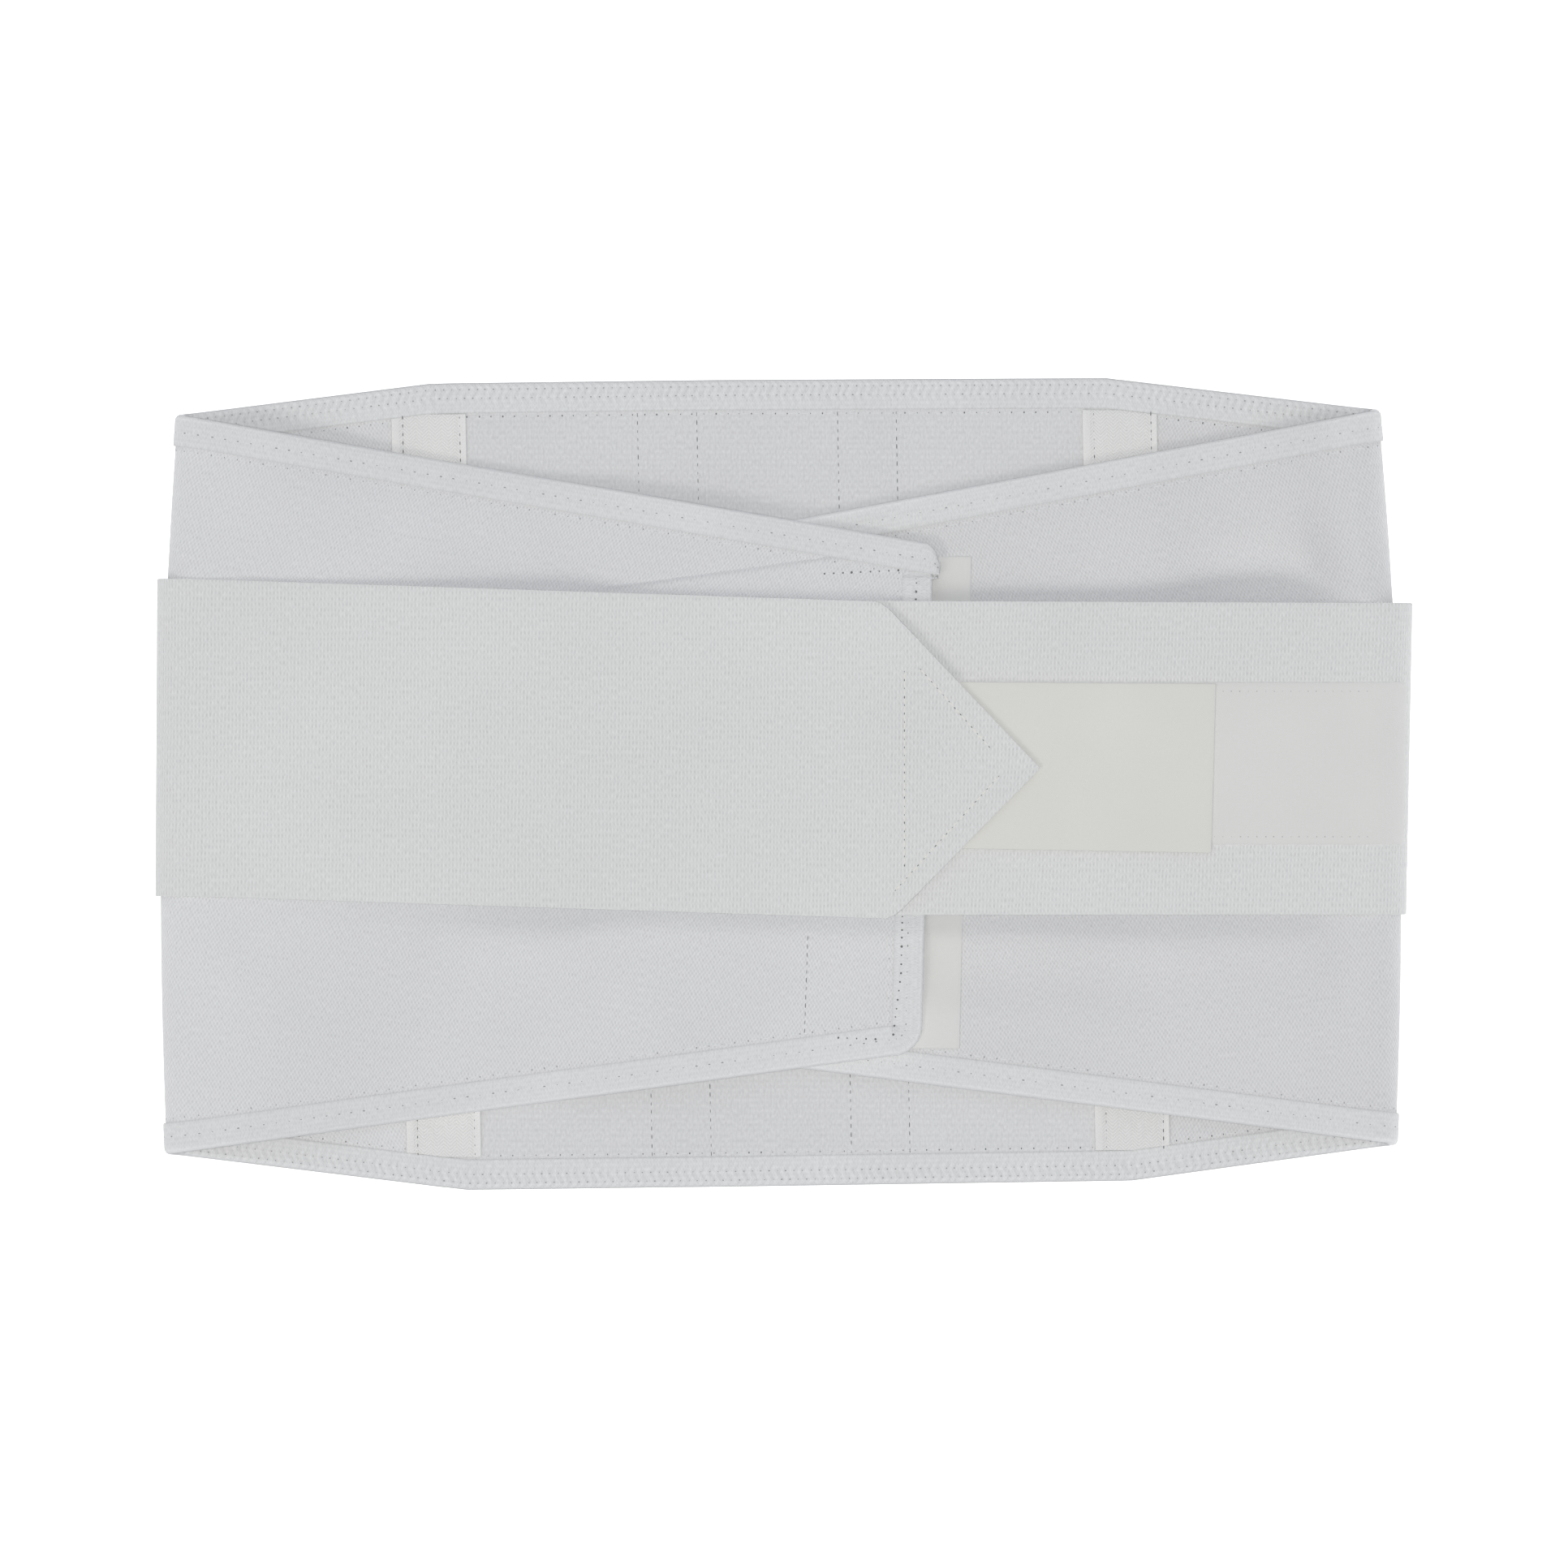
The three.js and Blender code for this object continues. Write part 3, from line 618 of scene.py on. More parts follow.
TOP_TRACK = EdgeTrack(
    lambda s, d, n: wing_edge_point(LEFT_WING, LEFT_WING.top, 3 - 3 * s, d, n, TOP_TAIL),
    lambda s, d, n: back_edge_point(BACK_TOP, -1, s, d, n),
    lambda s, d, n: wing_edge_point(RIGHT_WING, RIGHT_WING.top, 3 * s, d, n, TOP_TAIL),
)
BOTTOM_TRACK = EdgeTrack(
    lambda s, d, n: end_point(LEFT_WING, 1 - s, d, n),
    lambda s, d, n: corner_point(LEFT_WING, 1 - s, d, n),
    lambda s, d, n: wing_edge_point(LEFT_WING, LEFT_WING.bottom, 3 - 3 * s, d, n, BOTTOM_CORNER),
    lambda s, d, n: back_edge_point(BACK_BOTTOM, 1, s, d, n),
    lambda s, d, n: wing_edge_point(RIGHT_WING, RIGHT_WING.bottom, 3 * s, d, n, BOTTOM_CORNER),
    lambda s, d, n: corner_point(RIGHT_WING, s, d, n),
    lambda s, d, n: end_point(RIGHT_WING, s, d, n),
)


# Making meshes

def grid_piece(name, columns, rows, place):
    """A grid whose points are put in place by place(along, across), which also gives the cloth's own u, v."""
    bpy.ops.object.select_all(action="DESELECT")
    bpy.ops.mesh.primitive_grid_add(x_subdivisions=columns, y_subdivisions=rows, size=2)
    piece = bpy.context.active_object
    piece.name = name
    mesh = piece.data
    mesh.name = name
    flat = np.empty(len(mesh.vertices) * 3)
    mesh.vertices.foreach_get("co", flat)
    flat = flat.reshape(-1, 3)
    points, cloth = place((flat[:, 0] + 1) / 2, (flat[:, 1] + 1) / 2)
    mesh.vertices.foreach_set("co", (points * MM).ravel())
    corners = np.empty(len(mesh.loops), int)
    mesh.loops.foreach_get("vertex_index", corners)
    mesh.uv_layers.active.data.foreach_set("uv", (cloth[corners] * MM).ravel())
    mesh.update()
    return piece


def surface_area(piece):
    """Area of a piece's faces in square metres."""
    areas = np.empty(len(piece.data.polygons))
    piece.data.polygons.foreach_get("area", areas)
    return float(areas.sum())


def apply_modifier(piece, kind, **settings):
    modifier = piece.modifiers.new(kind.lower(), kind)
    for key, value in settings.items():
        setattr(modifier, key, value)
    bpy.context.view_layer.objects.active = piece
    bpy.ops.object.modifier_apply(modifier=modifier.name)


def thicken(piece, thickness, rounded=0.0):
    """Gives a sheet its thickness to both sides, and rounds its rim."""
    apply_modifier(piece, "SOLIDIFY", thickness=thickness * MM, offset=0.0, use_even_offset=True)
    if rounded:
        rim = math.radians(55)
        apply_modifier(piece, "BEVEL", width=rounded * MM, segments=2, limit_method="ANGLE", angle_limit=rim)


def close_tube(piece):
    """Joins the first and last row of a grid laid round a section, and closes its two ends."""
    bpy.context.view_layer.objects.active = piece
    bpy.ops.object.mode_set(mode="EDIT")
    bpy.ops.mesh.select_all(action="SELECT")
    bpy.ops.mesh.remove_doubles(threshold=1e-6)
    bpy.ops.mesh.fill_holes(sides=0)
    bpy.ops.mesh.normals_make_consistent(inside=False)
    bpy.ops.object.mode_set(mode="OBJECT")


def smooth(piece, degrees=40):
    bpy.ops.object.select_all(action="DESELECT")
    piece.select_set(True)
    bpy.context.view_layer.objects.active = piece
    bpy.ops.object.shade_smooth_by_angle(angle=math.radians(degrees))


def finish_piece(piece, slot, *materials, replaces=None):
    """Smooths a piece, gives it its materials, and names its body and the node it replaces; slot is not used.
    """
    smooth(piece)
    for material in materials:
        piece.data.materials.append(material)
    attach(piece, "root")
    if replaces:
        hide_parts(replaces)
    return piece


# Stitching: one bead, modelled once and copied into joined meshes

def bead_template():
    """Points and faces of a small bead of radius 1 that lies along its own x."""
    bpy.ops.object.select_all(action="DESELECT")
    bpy.ops.mesh.primitive_uv_sphere_add(segments=6, ring_count=5, radius=1.0)
    bead = bpy.context.active_object
    points = np.array([vertex.co for vertex in bead.data.vertices])[:, [2, 0, 1]]
    faces = [tuple(face.vertices) for face in bead.data.polygons]
    bpy.data.objects.remove(bead)
    return points, faces


BEAD_POINTS, BEAD_FACES = bead_template()

# Kinds of bead, which are also the places of their materials: thread, and dark beads of painted shade in
# needle holes and in dimples
THREAD, HOLE, DIMPLE = range(3)


class Stitching:
    """Beads of thread and of shaded needle holes on one piece, joined into one mesh."""

    def __init__(self, seed):
        self.points = []
        self.kinds = []
        self.chance = np.random.default_rng(seed)

    def beads(self, centres, along, normals, size, kind, uneven=0.0):
        """Adds a bead at each centre. size is half the length, width and height of a bead."""
        along = along / np.linalg.norm(along, axis=1, keepdims=True)
        side = np.cross(normals, along)
        side = side / np.linalg.norm(side, axis=1, keepdims=True)
        up = np.cross(along, side)
        scale = 1 - uneven * self.chance.random((len(centres), 1))
        centres = centres + along * (uneven * 0.5 * (self.chance.random((len(centres), 1)) - 0.5))
        frames = np.stack([along * size[0] * scale, side * size[1] * scale, up * size[2]], axis=1)
        self.points.append(centres[:, None, :] + np.einsum("pk,nkj->npj", BEAD_POINTS, frames))
        self.kinds.extend([kind] * len(centres))

    def row(self, line, normals, pitch, hole, thread=None, start=0.5, uneven=0.5, kind=HOLE, run=None):
        """Needle holes of a kind every pitch along a line of points, with thread lying between them.

        run is given where the pitch is measured along another line, such as the edge that a binding follows.
        """
        if run is None:
            steps = np.linalg.norm(np.diff(line, axis=0), axis=1)
            run = np.concatenate([[0], np.cumsum(steps)])
            pitch = run[-1] / max(1, round(run[-1] / pitch))

        def at(values, where):
            return np.stack([np.interp(where, run, values[:, k]) for k in range(3)], axis=1)

        count = round(run[-1] / pitch)
        stop = run[-1] - 0.2
        look = 0.3 * pitch
        for shift, size, bead in ((start, hole, kind), (start + 0.5, thread, THREAD)):
            if size is None:
                continue
            where = (np.arange(count) + shift) * pitch
            where = where[where < stop]
            ahead = at(line, where + look) - at(line, where - look)
            vary = 0.0 if bead == THREAD else uneven
            self.beads(at(line, where), ahead, at(normals, where), size, bead, vary)

    def make(self, name, slot, *materials):
        points = np.concatenate(self.points).reshape(-1, 3)
        count = len(self.kinds)
        faces = [tuple(k + i * len(BEAD_POINTS) for k in face) for i in range(count) for face in BEAD_FACES]
        mesh = bpy.data.meshes.new(name)
        mesh.from_pydata((points * MM).tolist(), [], faces)
        mesh.polygons.foreach_set("material_index", np.repeat(self.kinds, len(BEAD_FACES)))
        mesh.polygons.foreach_set("use_smooth", np.ones(len(mesh.polygons), bool))
        mesh.update()
        piece = bpy.data.objects.new(name, mesh)
        bpy.context.scene.collection.objects.link(piece)
        return finish_piece(piece, slot, *materials)


UP = np.array([0.0, 0.0, 1.0])


def drawn_line(corners, top):
    """A line of points through x, y corners, laid on the surface whose height is top(x, y)."""
    corners = np.array(corners, float)
    lengths = np.linalg.norm(np.diff(corners, axis=0), axis=1)
    run = np.concatenate([[0], np.cumsum(lengths)])
    where = np.arange(0, run[-1], LINE_STEP)
    x = np.interp(where, run, corners[:, 0])
    y = np.interp(where, run, corners[:, 1])
    line = np.stack([x, y, top(x, y)], axis=1)
    return line, np.tile(UP, (len(line), 1))


def track_line(track, d, n):
    """A line of points along a bound edge, on the face that n points to, its normals, and the edge's run."""
    probe = 0.1
    run = np.arange(0, track.length, LINE_STEP)
    line = track.point(run, d, n)
    normals = track.point(run, d, n + np.sign(n) * probe) - line
    return line, normals / np.linalg.norm(normals, axis=1, keepdims=True), run


# Node trees

class Tree:
    """Adds nodes to a node tree. A value given for a socket is either another socket or a constant."""

    def __init__(self, tree):
        self.tree = tree

    def add(self, kind, inputs=(), **settings):
        node = self.tree.nodes.new(kind)
        for key, value in settings.items():
            setattr(node, key, value)
        for key, value in dict(inputs).items():
            self.plug(value, node.inputs[key])
        return node

    def plug(self, value, socket):
        if isinstance(value, bpy.types.NodeSocket):
            self.tree.links.new(value, socket)
        else:
            socket.default_value = value

    def math(self, operation, *values):
        return self.add("ShaderNodeMath", enumerate(values), operation=operation).outputs[0]

    def wave(self, value):
        """Cosine of a value, where each whole number is a full turn."""
        return self.math("COSINE", self.math("MULTIPLY", value, 2 * math.pi))

    def noise(self, vector, scale, detail=2.0, roughness=0.5):
        inputs = {"Vector": vector, "Scale": scale, "Detail": detail, "Roughness": roughness}
        return self.add("ShaderNodeTexNoise", inputs).outputs["Fac"]

    def stretched(self, vector, scale):
        return self.add("ShaderNodeMapping", {"Vector": vector, "Scale": scale}).outputs[0]

    def colours(self, factor, dark, light):
        node = self.add("ShaderNodeMix", data_type="RGBA")
        self.plug(factor, node.inputs["Factor"])
        self.plug((*dark, 1.0), node.inputs[6])
        self.plug((*light, 1.0), node.inputs[7])
        return node.outputs[2]


def new_group(name, inputs, outputs):
    group = bpy.data.node_groups.new(name, "ShaderNodeTree")
    for label, kind in inputs:
        group.interface.new_socket(label, in_out="INPUT", socket_type=kind)
    for label in outputs:
        group.interface.new_socket(label, in_out="OUTPUT", socket_type="NodeSocketFloat")
    tree = Tree(group)
    return tree, tree.add("NodeGroupInput").outputs, tree.add("NodeGroupOutput").inputs


# Shared patterns: how fast the knit's rows wander and how much of it goes along them, stretch and
# fineness of the yarn's strokes, contrast of slow tones, and roughness of single fibres
WANDER_SCALE = 90.0
WANDER_ALONG = 0.7
STROKE_STRETCH = (1.7, 0.6, 1.0)
STROKE_SCALE = 1100.0
TONE_CONTRAST = 1.6
FIBRE_ROUGHNESS = 0.65


def knit_lattice_group():
    """Staggered loops of a knit with ribs along them, uneven as knitted yarn is."""
    inputs = [("Vector", "NodeSocketVector"), ("Rib", "NodeSocketFloat"), ("Row", "NodeSocketFloat"),
              ("Loops", "NodeSocketFloat"), ("Ribs", "NodeSocketFloat"), ("Uneven", "NodeSocketFloat")]
    tree, given, made = new_group("knit_lattice", inputs, ["Height"])
    axes = tree.add("ShaderNodeSeparateXYZ", {"Vector": given["Vector"]}).outputs
    wander = tree.math("SUBTRACT", tree.noise(given["Vector"], WANDER_SCALE), 0.5)
    shift = tree.math("MULTIPLY", wander, WANDER_ALONG)
    along = tree.math("ADD", tree.math("DIVIDE", axes["X"], given["Rib"]), shift)
    across = tree.math("ADD", tree.math("DIVIDE", axes["Y"], given["Row"]), wander)
    loops = tree.math("MULTIPLY", tree.wave(along), tree.wave(across))
    strokes = tree.noise(tree.stretched(given["Vector"], STROKE_STRETCH), STROKE_SCALE, detail=0.0)
    height = tree.math("MULTIPLY_ADD", loops, given["Loops"], 0.5)
    height = tree.math("MULTIPLY_ADD", tree.wave(along), given["Ribs"], height)
    height = tree.math("MULTIPLY_ADD", tree.math("SUBTRACT", strokes, 0.5), given["Uneven"], height)
    tree.plug(height, made["Height"])
    return tree.tree


def soft_tone_group():
    """Slow, faint changes of tone, as dyed cloth has."""
    inputs = [("Vector", "NodeSocketVector"), ("Size", "NodeSocketFloat")]
    tree, given, made = new_group("soft_tone", inputs, ["Tone"])
    scale = tree.math("DIVIDE", 1.0, given["Size"])
    slow = tree.math("SUBTRACT", tree.noise(given["Vector"], scale, detail=3.0), 0.5)
    tree.plug(tree.math("MULTIPLY_ADD", slow, TONE_CONTRAST, 0.5), made["Tone"])
    return tree.tree


def fibre_grain_group():
    """Fine speckle of single fibres."""
    inputs = [("Vector", "NodeSocketVector"), ("Fibre", "NodeSocketFloat")]
    tree, given, made = new_group("fibre_grain", inputs, ["Grain"])
    scale = tree.math("DIVIDE", 1.0, given["Fibre"])
    tree.plug(tree.noise(given["Vector"], scale, detail=3.0, roughness=FIBRE_ROUGHNESS), made["Grain"])
    return tree.tree


KNIT_LATTICE = knit_lattice_group()
SOFT_TONE = soft_tone_group()
FIBRE_GRAIN = fibre_grain_group()


class Finish(Tree):
    """A cloth material: a shader, the cloth's own u, v, its place, and the shared groups."""

    SPECULAR = 0.2

    def __init__(self, name, roughness, sheen=0.0):
        self.material = bpy.data.materials.new(name)
        self.material.use_nodes = True
        super().__init__(self.material.node_tree)
        self.shader = self.tree.nodes["Principled BSDF"]
        self.shader.inputs["Roughness"].default_value = roughness
        self.shader.inputs["Specular IOR Level"].default_value = self.SPECULAR
        self.shader.inputs["Sheen Weight"].default_value = sheen
        coordinates = self.add("ShaderNodeTexCoord").outputs
        self.cloth = coordinates["UV"]
        self.place = coordinates["Object"]

    def axes(self):
        return self.add("ShaderNodeSeparateXYZ", {"Vector": self.cloth}).outputs

    def group(self, tree, inputs):
        return self.add("ShaderNodeGroup", inputs, node_tree=tree).outputs

    def knit(self, rib, row, loops, ribs, uneven):
        inputs = {"Vector": self.cloth, "Rib": rib * MM, "Row": row * MM}
        inputs |= {"Loops": loops, "Ribs": ribs, "Uneven": uneven}
        return self.group(KNIT_LATTICE, inputs)["Height"]

    def tone(self, size):
        return self.group(SOFT_TONE, {"Vector": self.place, "Size": size * MM})["Tone"]

    def grain(self, fibre):
        return self.group(FIBRE_GRAIN, {"Vector": self.place, "Fibre": fibre * MM})["Grain"]

    def blend(self, *parts):
        """Weighted sum of value, weight pairs, kept round one half."""
        total = 0.5
        for value, weight in parts:
            centred = self.math("SUBTRACT", value, 0.5)
            total = self.math("MULTIPLY_ADD", centred, weight, total)
        return total

    def paint(self, colour, spread, factor, height, depth):
        """Colour from darker to lighter by factor, and relief of the given depth from height."""
        dark = tuple(channel * (1 - spread) for channel in colour)
        light = tuple(channel * (1 + spread) for channel in colour)
        self.plug(self.colours(factor, dark, light), self.shader.inputs["Base Color"])
        bump = self.add("ShaderNodeBump", {"Height": height, "Distance": depth * MM, "Strength": 1.0})
        self.plug(bump.outputs["Normal"], self.shader.inputs["Normal"])
        return self.material


def wing_cloth(name, colour):
    finish = Finish(name, roughness=0.95, sheen=0.15)
    knit = finish.knit(rib=1.12, row=1.78, loops=0.34, ribs=0.04, uneven=0.6)
    factor = finish.blend((knit, 0.9), (finish.tone(45), 0.22))
    return finish.paint(colour, 0.14, factor, knit, depth=0.16)


def back_cloth(name, colour):
    """Fine weave with ribs across the back."""
    row = 1.68
    finish = Finish(name, roughness=0.95)
    knit = finish.knit(rib=1.7, row=row, loops=0.06, ribs=0.04, uneven=0.9)
    rows = finish.wave(finish.math("DIVIDE", finish.axes()["Y"], row * MM))
    relief = finish.math("MULTIPLY_ADD", rows, 0.06, knit)
    factor = finish.blend((relief, 0.85), (finish.grain(0.7), 0.5), (finish.tone(40), 0.22))
    return finish.paint(colour, 0.13, factor, relief, depth=0.14)


def strap_elastic(name, colour):
    finish = Finish(name, roughness=0.9, sheen=0.1)
    knit = finish.knit(rib=1.12, row=1.78, loops=0.17, ribs=0.18, uneven=0.7)
    factor = finish.blend((knit, 0.9), (finish.tone(60), 0.2))
    return finish.paint(colour, 0.14, factor, knit, depth=0.16)


def gather_shade(finish, axes):
    """Shade of the slanting gathers, in step with their shape, on the inside face of a binding only."""
    sway_scale, sway_share, clear_of_turn = 300.0, 0.7, 0.4
    inside_d = finish.math("SUBTRACT", axes["Y"], INSIDE_START * MM)
    slant = finish.math("PINGPONG", finish.math("SUBTRACT", inside_d, INNER_ROW * MM), INNER_STEP * MM)
    slant = finish.math("MULTIPLY_ADD", slant, -0.5 / (INNER_STEP * MM), 0.5)
    phase = finish.math("ADD", finish.math("DIVIDE", axes["X"], GATHER_PITCH * MM), slant)
    sway = finish.math("SUBTRACT", finish.noise(finish.cloth, sway_scale), 0.5)
    phase = finish.math("MULTIPLY_ADD", sway, sway_share, phase)
    is_inside = finish.math("GREATER_THAN", inside_d, clear_of_turn * MM)
    calm = finish.math("SUBTRACT", inside_d, (INNER_ROW + GATHER_END) * MM)
    calm = finish.math("DIVIDE", calm, GATHER_FADE * MM)
    calm = finish.math("MINIMUM", finish.math("MAXIMUM", calm, 0.0), 1.0)
    depth = finish.math("MULTIPLY", finish.math("MULTIPLY_ADD", calm, -GATHER_CALM, 1.0), is_inside)
    return finish.math("MULTIPLY", finish.wave(phase), depth)


def binding_tape(name, colour):
    """Knitted tape: ribs along it, slanting gathers inside the loop, painted shade at its lips, painted
    highlight on its turn.
    """
    rib, rib_height, gather_height = 1.45, 0.06, 0.18
    lip_width, lip_painted_shade = 0.6, -0.4
    finish = Finish(name, roughness=0.92, sheen=0.1)
    knit = finish.knit(rib=0.89, row=1.5, loops=0.12, ribs=0.0, uneven=0.7)
    axes = finish.axes()
    lengthwise = finish.wave(finish.math("DIVIDE", axes["Y"], rib * MM))
    relief = finish.math("MULTIPLY_ADD", lengthwise, rib_height, knit)
    relief = finish.math("MULTIPLY_ADD", gather_shade(finish, axes), gather_height, relief)
    factor = finish.blend((relief, 0.9), (finish.tone(30), 0.2), (finish.grain(0.6), 0.3))
    # Painted shade: darker near both edges of the tape, where it meets the cloth
    to_lip = finish.math("MINIMUM", axes["Y"], finish.math("SUBTRACT", BINDING_WIDTH * MM, axes["Y"]))
    lip = finish.math("SUBTRACT", 1.0, finish.math("DIVIDE", to_lip, lip_width * MM))
    factor = finish.math("MULTIPLY_ADD", finish.math("MAXIMUM", lip, 0.0), lip_painted_shade, factor)
    # Painted highlight: lighter over the middle of the turn round the bound edge
    from_turn = finish.math("ABSOLUTE", finish.math("SUBTRACT", axes["Y"], TURN_MIDDLE * MM))
    turn = finish.math("SUBTRACT", 1.0, finish.math("DIVIDE", from_turn, TURN_REACH * MM))
    factor = finish.math("ADD", finish.math("MAXIMUM", turn, 0.0), factor)
    return finish.paint(colour, 0.14, factor, relief, depth=0.18)


def cream_tape(name, colour):
    """Herringbone: slanting ribs that turn the other way in each column, between two smooth selvedges."""
    column_width, rib = 2.0, 1.05
    rib_depth, rib_level = 0.25, 0.48
    selvedge_depth, selvedge_level = -0.2, 0.1
    finish = Finish(name, roughness=0.7, sheen=0.1)
    axes = finish.axes()
    column = finish.math("PINGPONG", axes["X"], column_width * MM)
    slant = finish.math("DIVIDE", finish.math("ADD", axes["Y"], column), rib * MM)
    selvedge = finish.math("GREATER_THAN", finish.math("ABSOLUTE", axes["X"]), STAY_TAPE_SELVEDGE * MM)
    depth = finish.math("MULTIPLY_ADD", selvedge, selvedge_depth, rib_depth)
    level = finish.math("MULTIPLY_ADD", selvedge, selvedge_level, rib_level)
    ribs = finish.math("MULTIPLY_ADD", finish.wave(slant), depth, level)
    factor = finish.blend((ribs, 0.9), (finish.tone(25), 0.3), (finish.grain(0.4), 0.9))
    return finish.paint(colour, 0.15, factor, ribs, depth=0.16)


def hook_and_loop(name, colour):
    """Close pile of the fastening tapes."""
    finish = Finish(name, roughness=0.95, sheen=0.2)
    pile = finish.grain(0.32)
    ground = finish.knit(rib=0.64, row=0.9, loops=0.2, ribs=0.0, uneven=0.4)
    factor = finish.blend((pile, 0.6), (finish.tone(30), 0.3), (ground, 0.3))
    return finish.paint(colour, 0.07, factor, pile, depth=0.06)


def sewing_thread(name, colour):
    finish = Finish(name, roughness=0.6, sheen=0.1)
    twist = finish.grain(0.25)
    return finish.paint(colour, 0.06, finish.blend((twist, 0.8)), twist, depth=0.03)


def needle_hole_shade(name, colour):
    """Cloth in the shade of a needle hole."""
    finish = Finish(name, roughness=1.0)
    shade = finish.grain(0.3)
    return finish.paint(colour, 0.3, finish.blend((shade, 1.0)), shade, depth=0.05)


LEFT_WING_CLOTH = wing_cloth("brushed_knit", (0.763, 0.764, 0.769))
# Painted shade: the right wing uses the left wing's cloth, only darker, for the shade that it shows
RIGHT_WING_CLOTH = wing_cloth("brushed_knit_shaded", (0.742, 0.741, 0.745))
BACK_CLOTH = back_cloth("ribbed_weave", (0.735, 0.736, 0.740))
STRAP_ELASTIC = strap_elastic("ribbed_elastic", (0.759, 0.762, 0.752))
BINDING_TAPE = binding_tape("knitted_binding", (0.767, 0.770, 0.769))
CREAM_TAPE = cream_tape("herringbone_tape", (0.816, 0.812, 0.797))
HOOK_TAPE = hook_and_loop("hook_pile", (0.776, 0.771, 0.731))
LOOP_TAPE = hook_and_loop("loop_pile", (0.776, 0.775, 0.752))
THREADS = (
    sewing_thread("sewing_thread", (0.80, 0.805, 0.81)),
    needle_hole_shade("needle_hole_shade", (0.19, 0.192, 0.195)),
    needle_hole_shade("needle_dimple_shade", (0.36, 0.365, 0.372)),
)
CREAM_THREAD = sewing_thread("cream_thread", (0.86, 0.845, 0.775))


# Back panel, wings and tapes

def make_back_panel():
    """The back between its two seams, with a column of the grid on every stitch line of the channels."""
    lines = [0.0] + [share for channel in STAY_CHANNELS for share in channel] + [1.0]
    columns = [0, 42, 56, 84, 98, 140]
    rows = 100

    def place(along, across):
        share = np.interp(along * columns[-1], columns, lines)
        top = np.interp(share, BACK_SHARE, BACK_TOP) - EDGE_INSET
        bottom = np.interp(share, BACK_SHARE, BACK_BOTTOM) + EDGE_INSET
        y = mix(bottom, top, across)
        x = back_x(share, y)
        z = BACK_LEVEL + channel_rise(share, y)
        return np.stack([x, y, z], axis=1), np.stack([x, y], axis=1)

    piece = grid_piece("back_panel_cloth", columns[-1], rows, place)
    area = surface_area(piece)
    thicken(piece, CLOTH)
    finish_piece(piece, "back_cloth", BACK_CLOTH, replaces="back_panel")


def make_wing(name, wing):
    """A wing from its seam round the fold to its end, with rows lying close along the strap's edges."""
    columns, rows = 150, 104
    back_share, fold_share = 0.22, 0.31
    row_shares = (0.0, 0.17, 0.31, 0.42, 0.76, 1.0)
    below_strap, under_strap, above_strap, least_free = 9.0, 3.0, 14.0, 2.0
    strap = LEFT_STRAP if wing.side < 0 else RIGHT_STRAP
    material = LEFT_WING_CLOTH if wing.side < 0 else RIGHT_WING_CLOTH

    def place(along, across):
        on_fold = 1 + (along - back_share) / (fold_share - back_share)
        on_front = 2 + (along - fold_share) / (1 - fold_share)
        past_back = np.where(along <= fold_share, on_fold, on_front)
        run = np.where(along <= back_share, along / back_share, past_back)
        top = edge_line_y(wing, wing.top, run) - EDGE_INSET
        bottom = edge_line_y(wing, wing.bottom, run) + EDGE_INSET
        inset = wing_u(wing, run, top) - wing_end_u(wing, top) - EDGE_INSET
        inset = np.where(run > 2, inset, BOTTOM_CORNER)
        bottom = bottom + corner_drop(BOTTOM_CORNER - EDGE_INSET, inset)
        top = top - corner_drop(0.5 * BOTTOM_CORNER, inset)
        held_low, held_high = held_edges(strap, wing_u(wing, np.maximum(run, 2), top))
        free = np.minimum(held_high + above_strap, top - least_free)
        under = (held_low + under_strap, held_high - under_strap)
        lines = (bottom, held_low - below_strap, *under, free, top)
        y = bottom
        for k, (start, stop) in enumerate(zip(row_shares, row_shares[1:])):
            share = np.clip((across - start) / (stop - start), 0, 1)
            y = np.where(across > start, mix(lines[k], lines[k + 1], share), y)
        points = wing_point(wing, run, y)
        u = wing_u(wing, run, y)
        axis = fold_axis_u(wing, y)
        turn = np.pi * fold_radius(y)
        length = np.where(run <= 1, u, np.where(run < 2, axis + turn * (run - 1), 2 * axis + turn - u))
        length = length * -wing.side
        cloth_u = length * math.cos(wing.grain) - y * math.sin(wing.grain) * wing.side
        cloth_v = length * math.sin(wing.grain) * wing.side + y * math.cos(wing.grain)
        return points, np.stack([cloth_u, cloth_v], axis=1)

    piece = grid_piece(name + "_cloth", columns, rows, place)
    area = surface_area(piece)
    thicken(piece, CLOTH)
    finish_piece(piece, "wing_cloth", material, replaces=name)


def stay_tape_curl(out):
    """Rise of a cream tape's long edges at a distance from the seam."""
    return STAY_TAPE_CURL * ease((abs(out) - STAY_CURL_FROM) / STAY_CURL_REACH)


def make_stay_tape(name, wing):
    """Herringbone tape over a seam on the inside of the back."""
    middle = BACK_LEVEL + CLOTH / 2 + THIN_TAPE / 2 + HAIR

    def end_y(edge, out):
        share = np.maximum(out, 0) / (edge.fold_u - edge.seam_u)
        return mix(edge.seam_y, edge.fold_y, share) + edge.inward * BINDING_REACH

    def place(along, across):
        out = mix(-0.5, 0.5, along) * STAY_TAPE_WIDTH
        y = mix(end_y(wing.bottom, out), end_y(wing.top, out), across)
        u = seam_u(wing, y) + out
        z = middle + slow_waves(STAY_TAPE_WAVES, y, out) + stay_tape_curl(out)
        return np.stack([wing.side * u, y, z], axis=1), np.stack([wing.side * out, y], axis=1)

    piece = grid_piece(name + "_cloth", columns=24, rows=110, place=place)
    thicken(piece, THIN_TAPE, rounded=0.15)
    finish_piece(piece, "cream_tape", CREAM_TAPE, replaces=name)


# Bindings

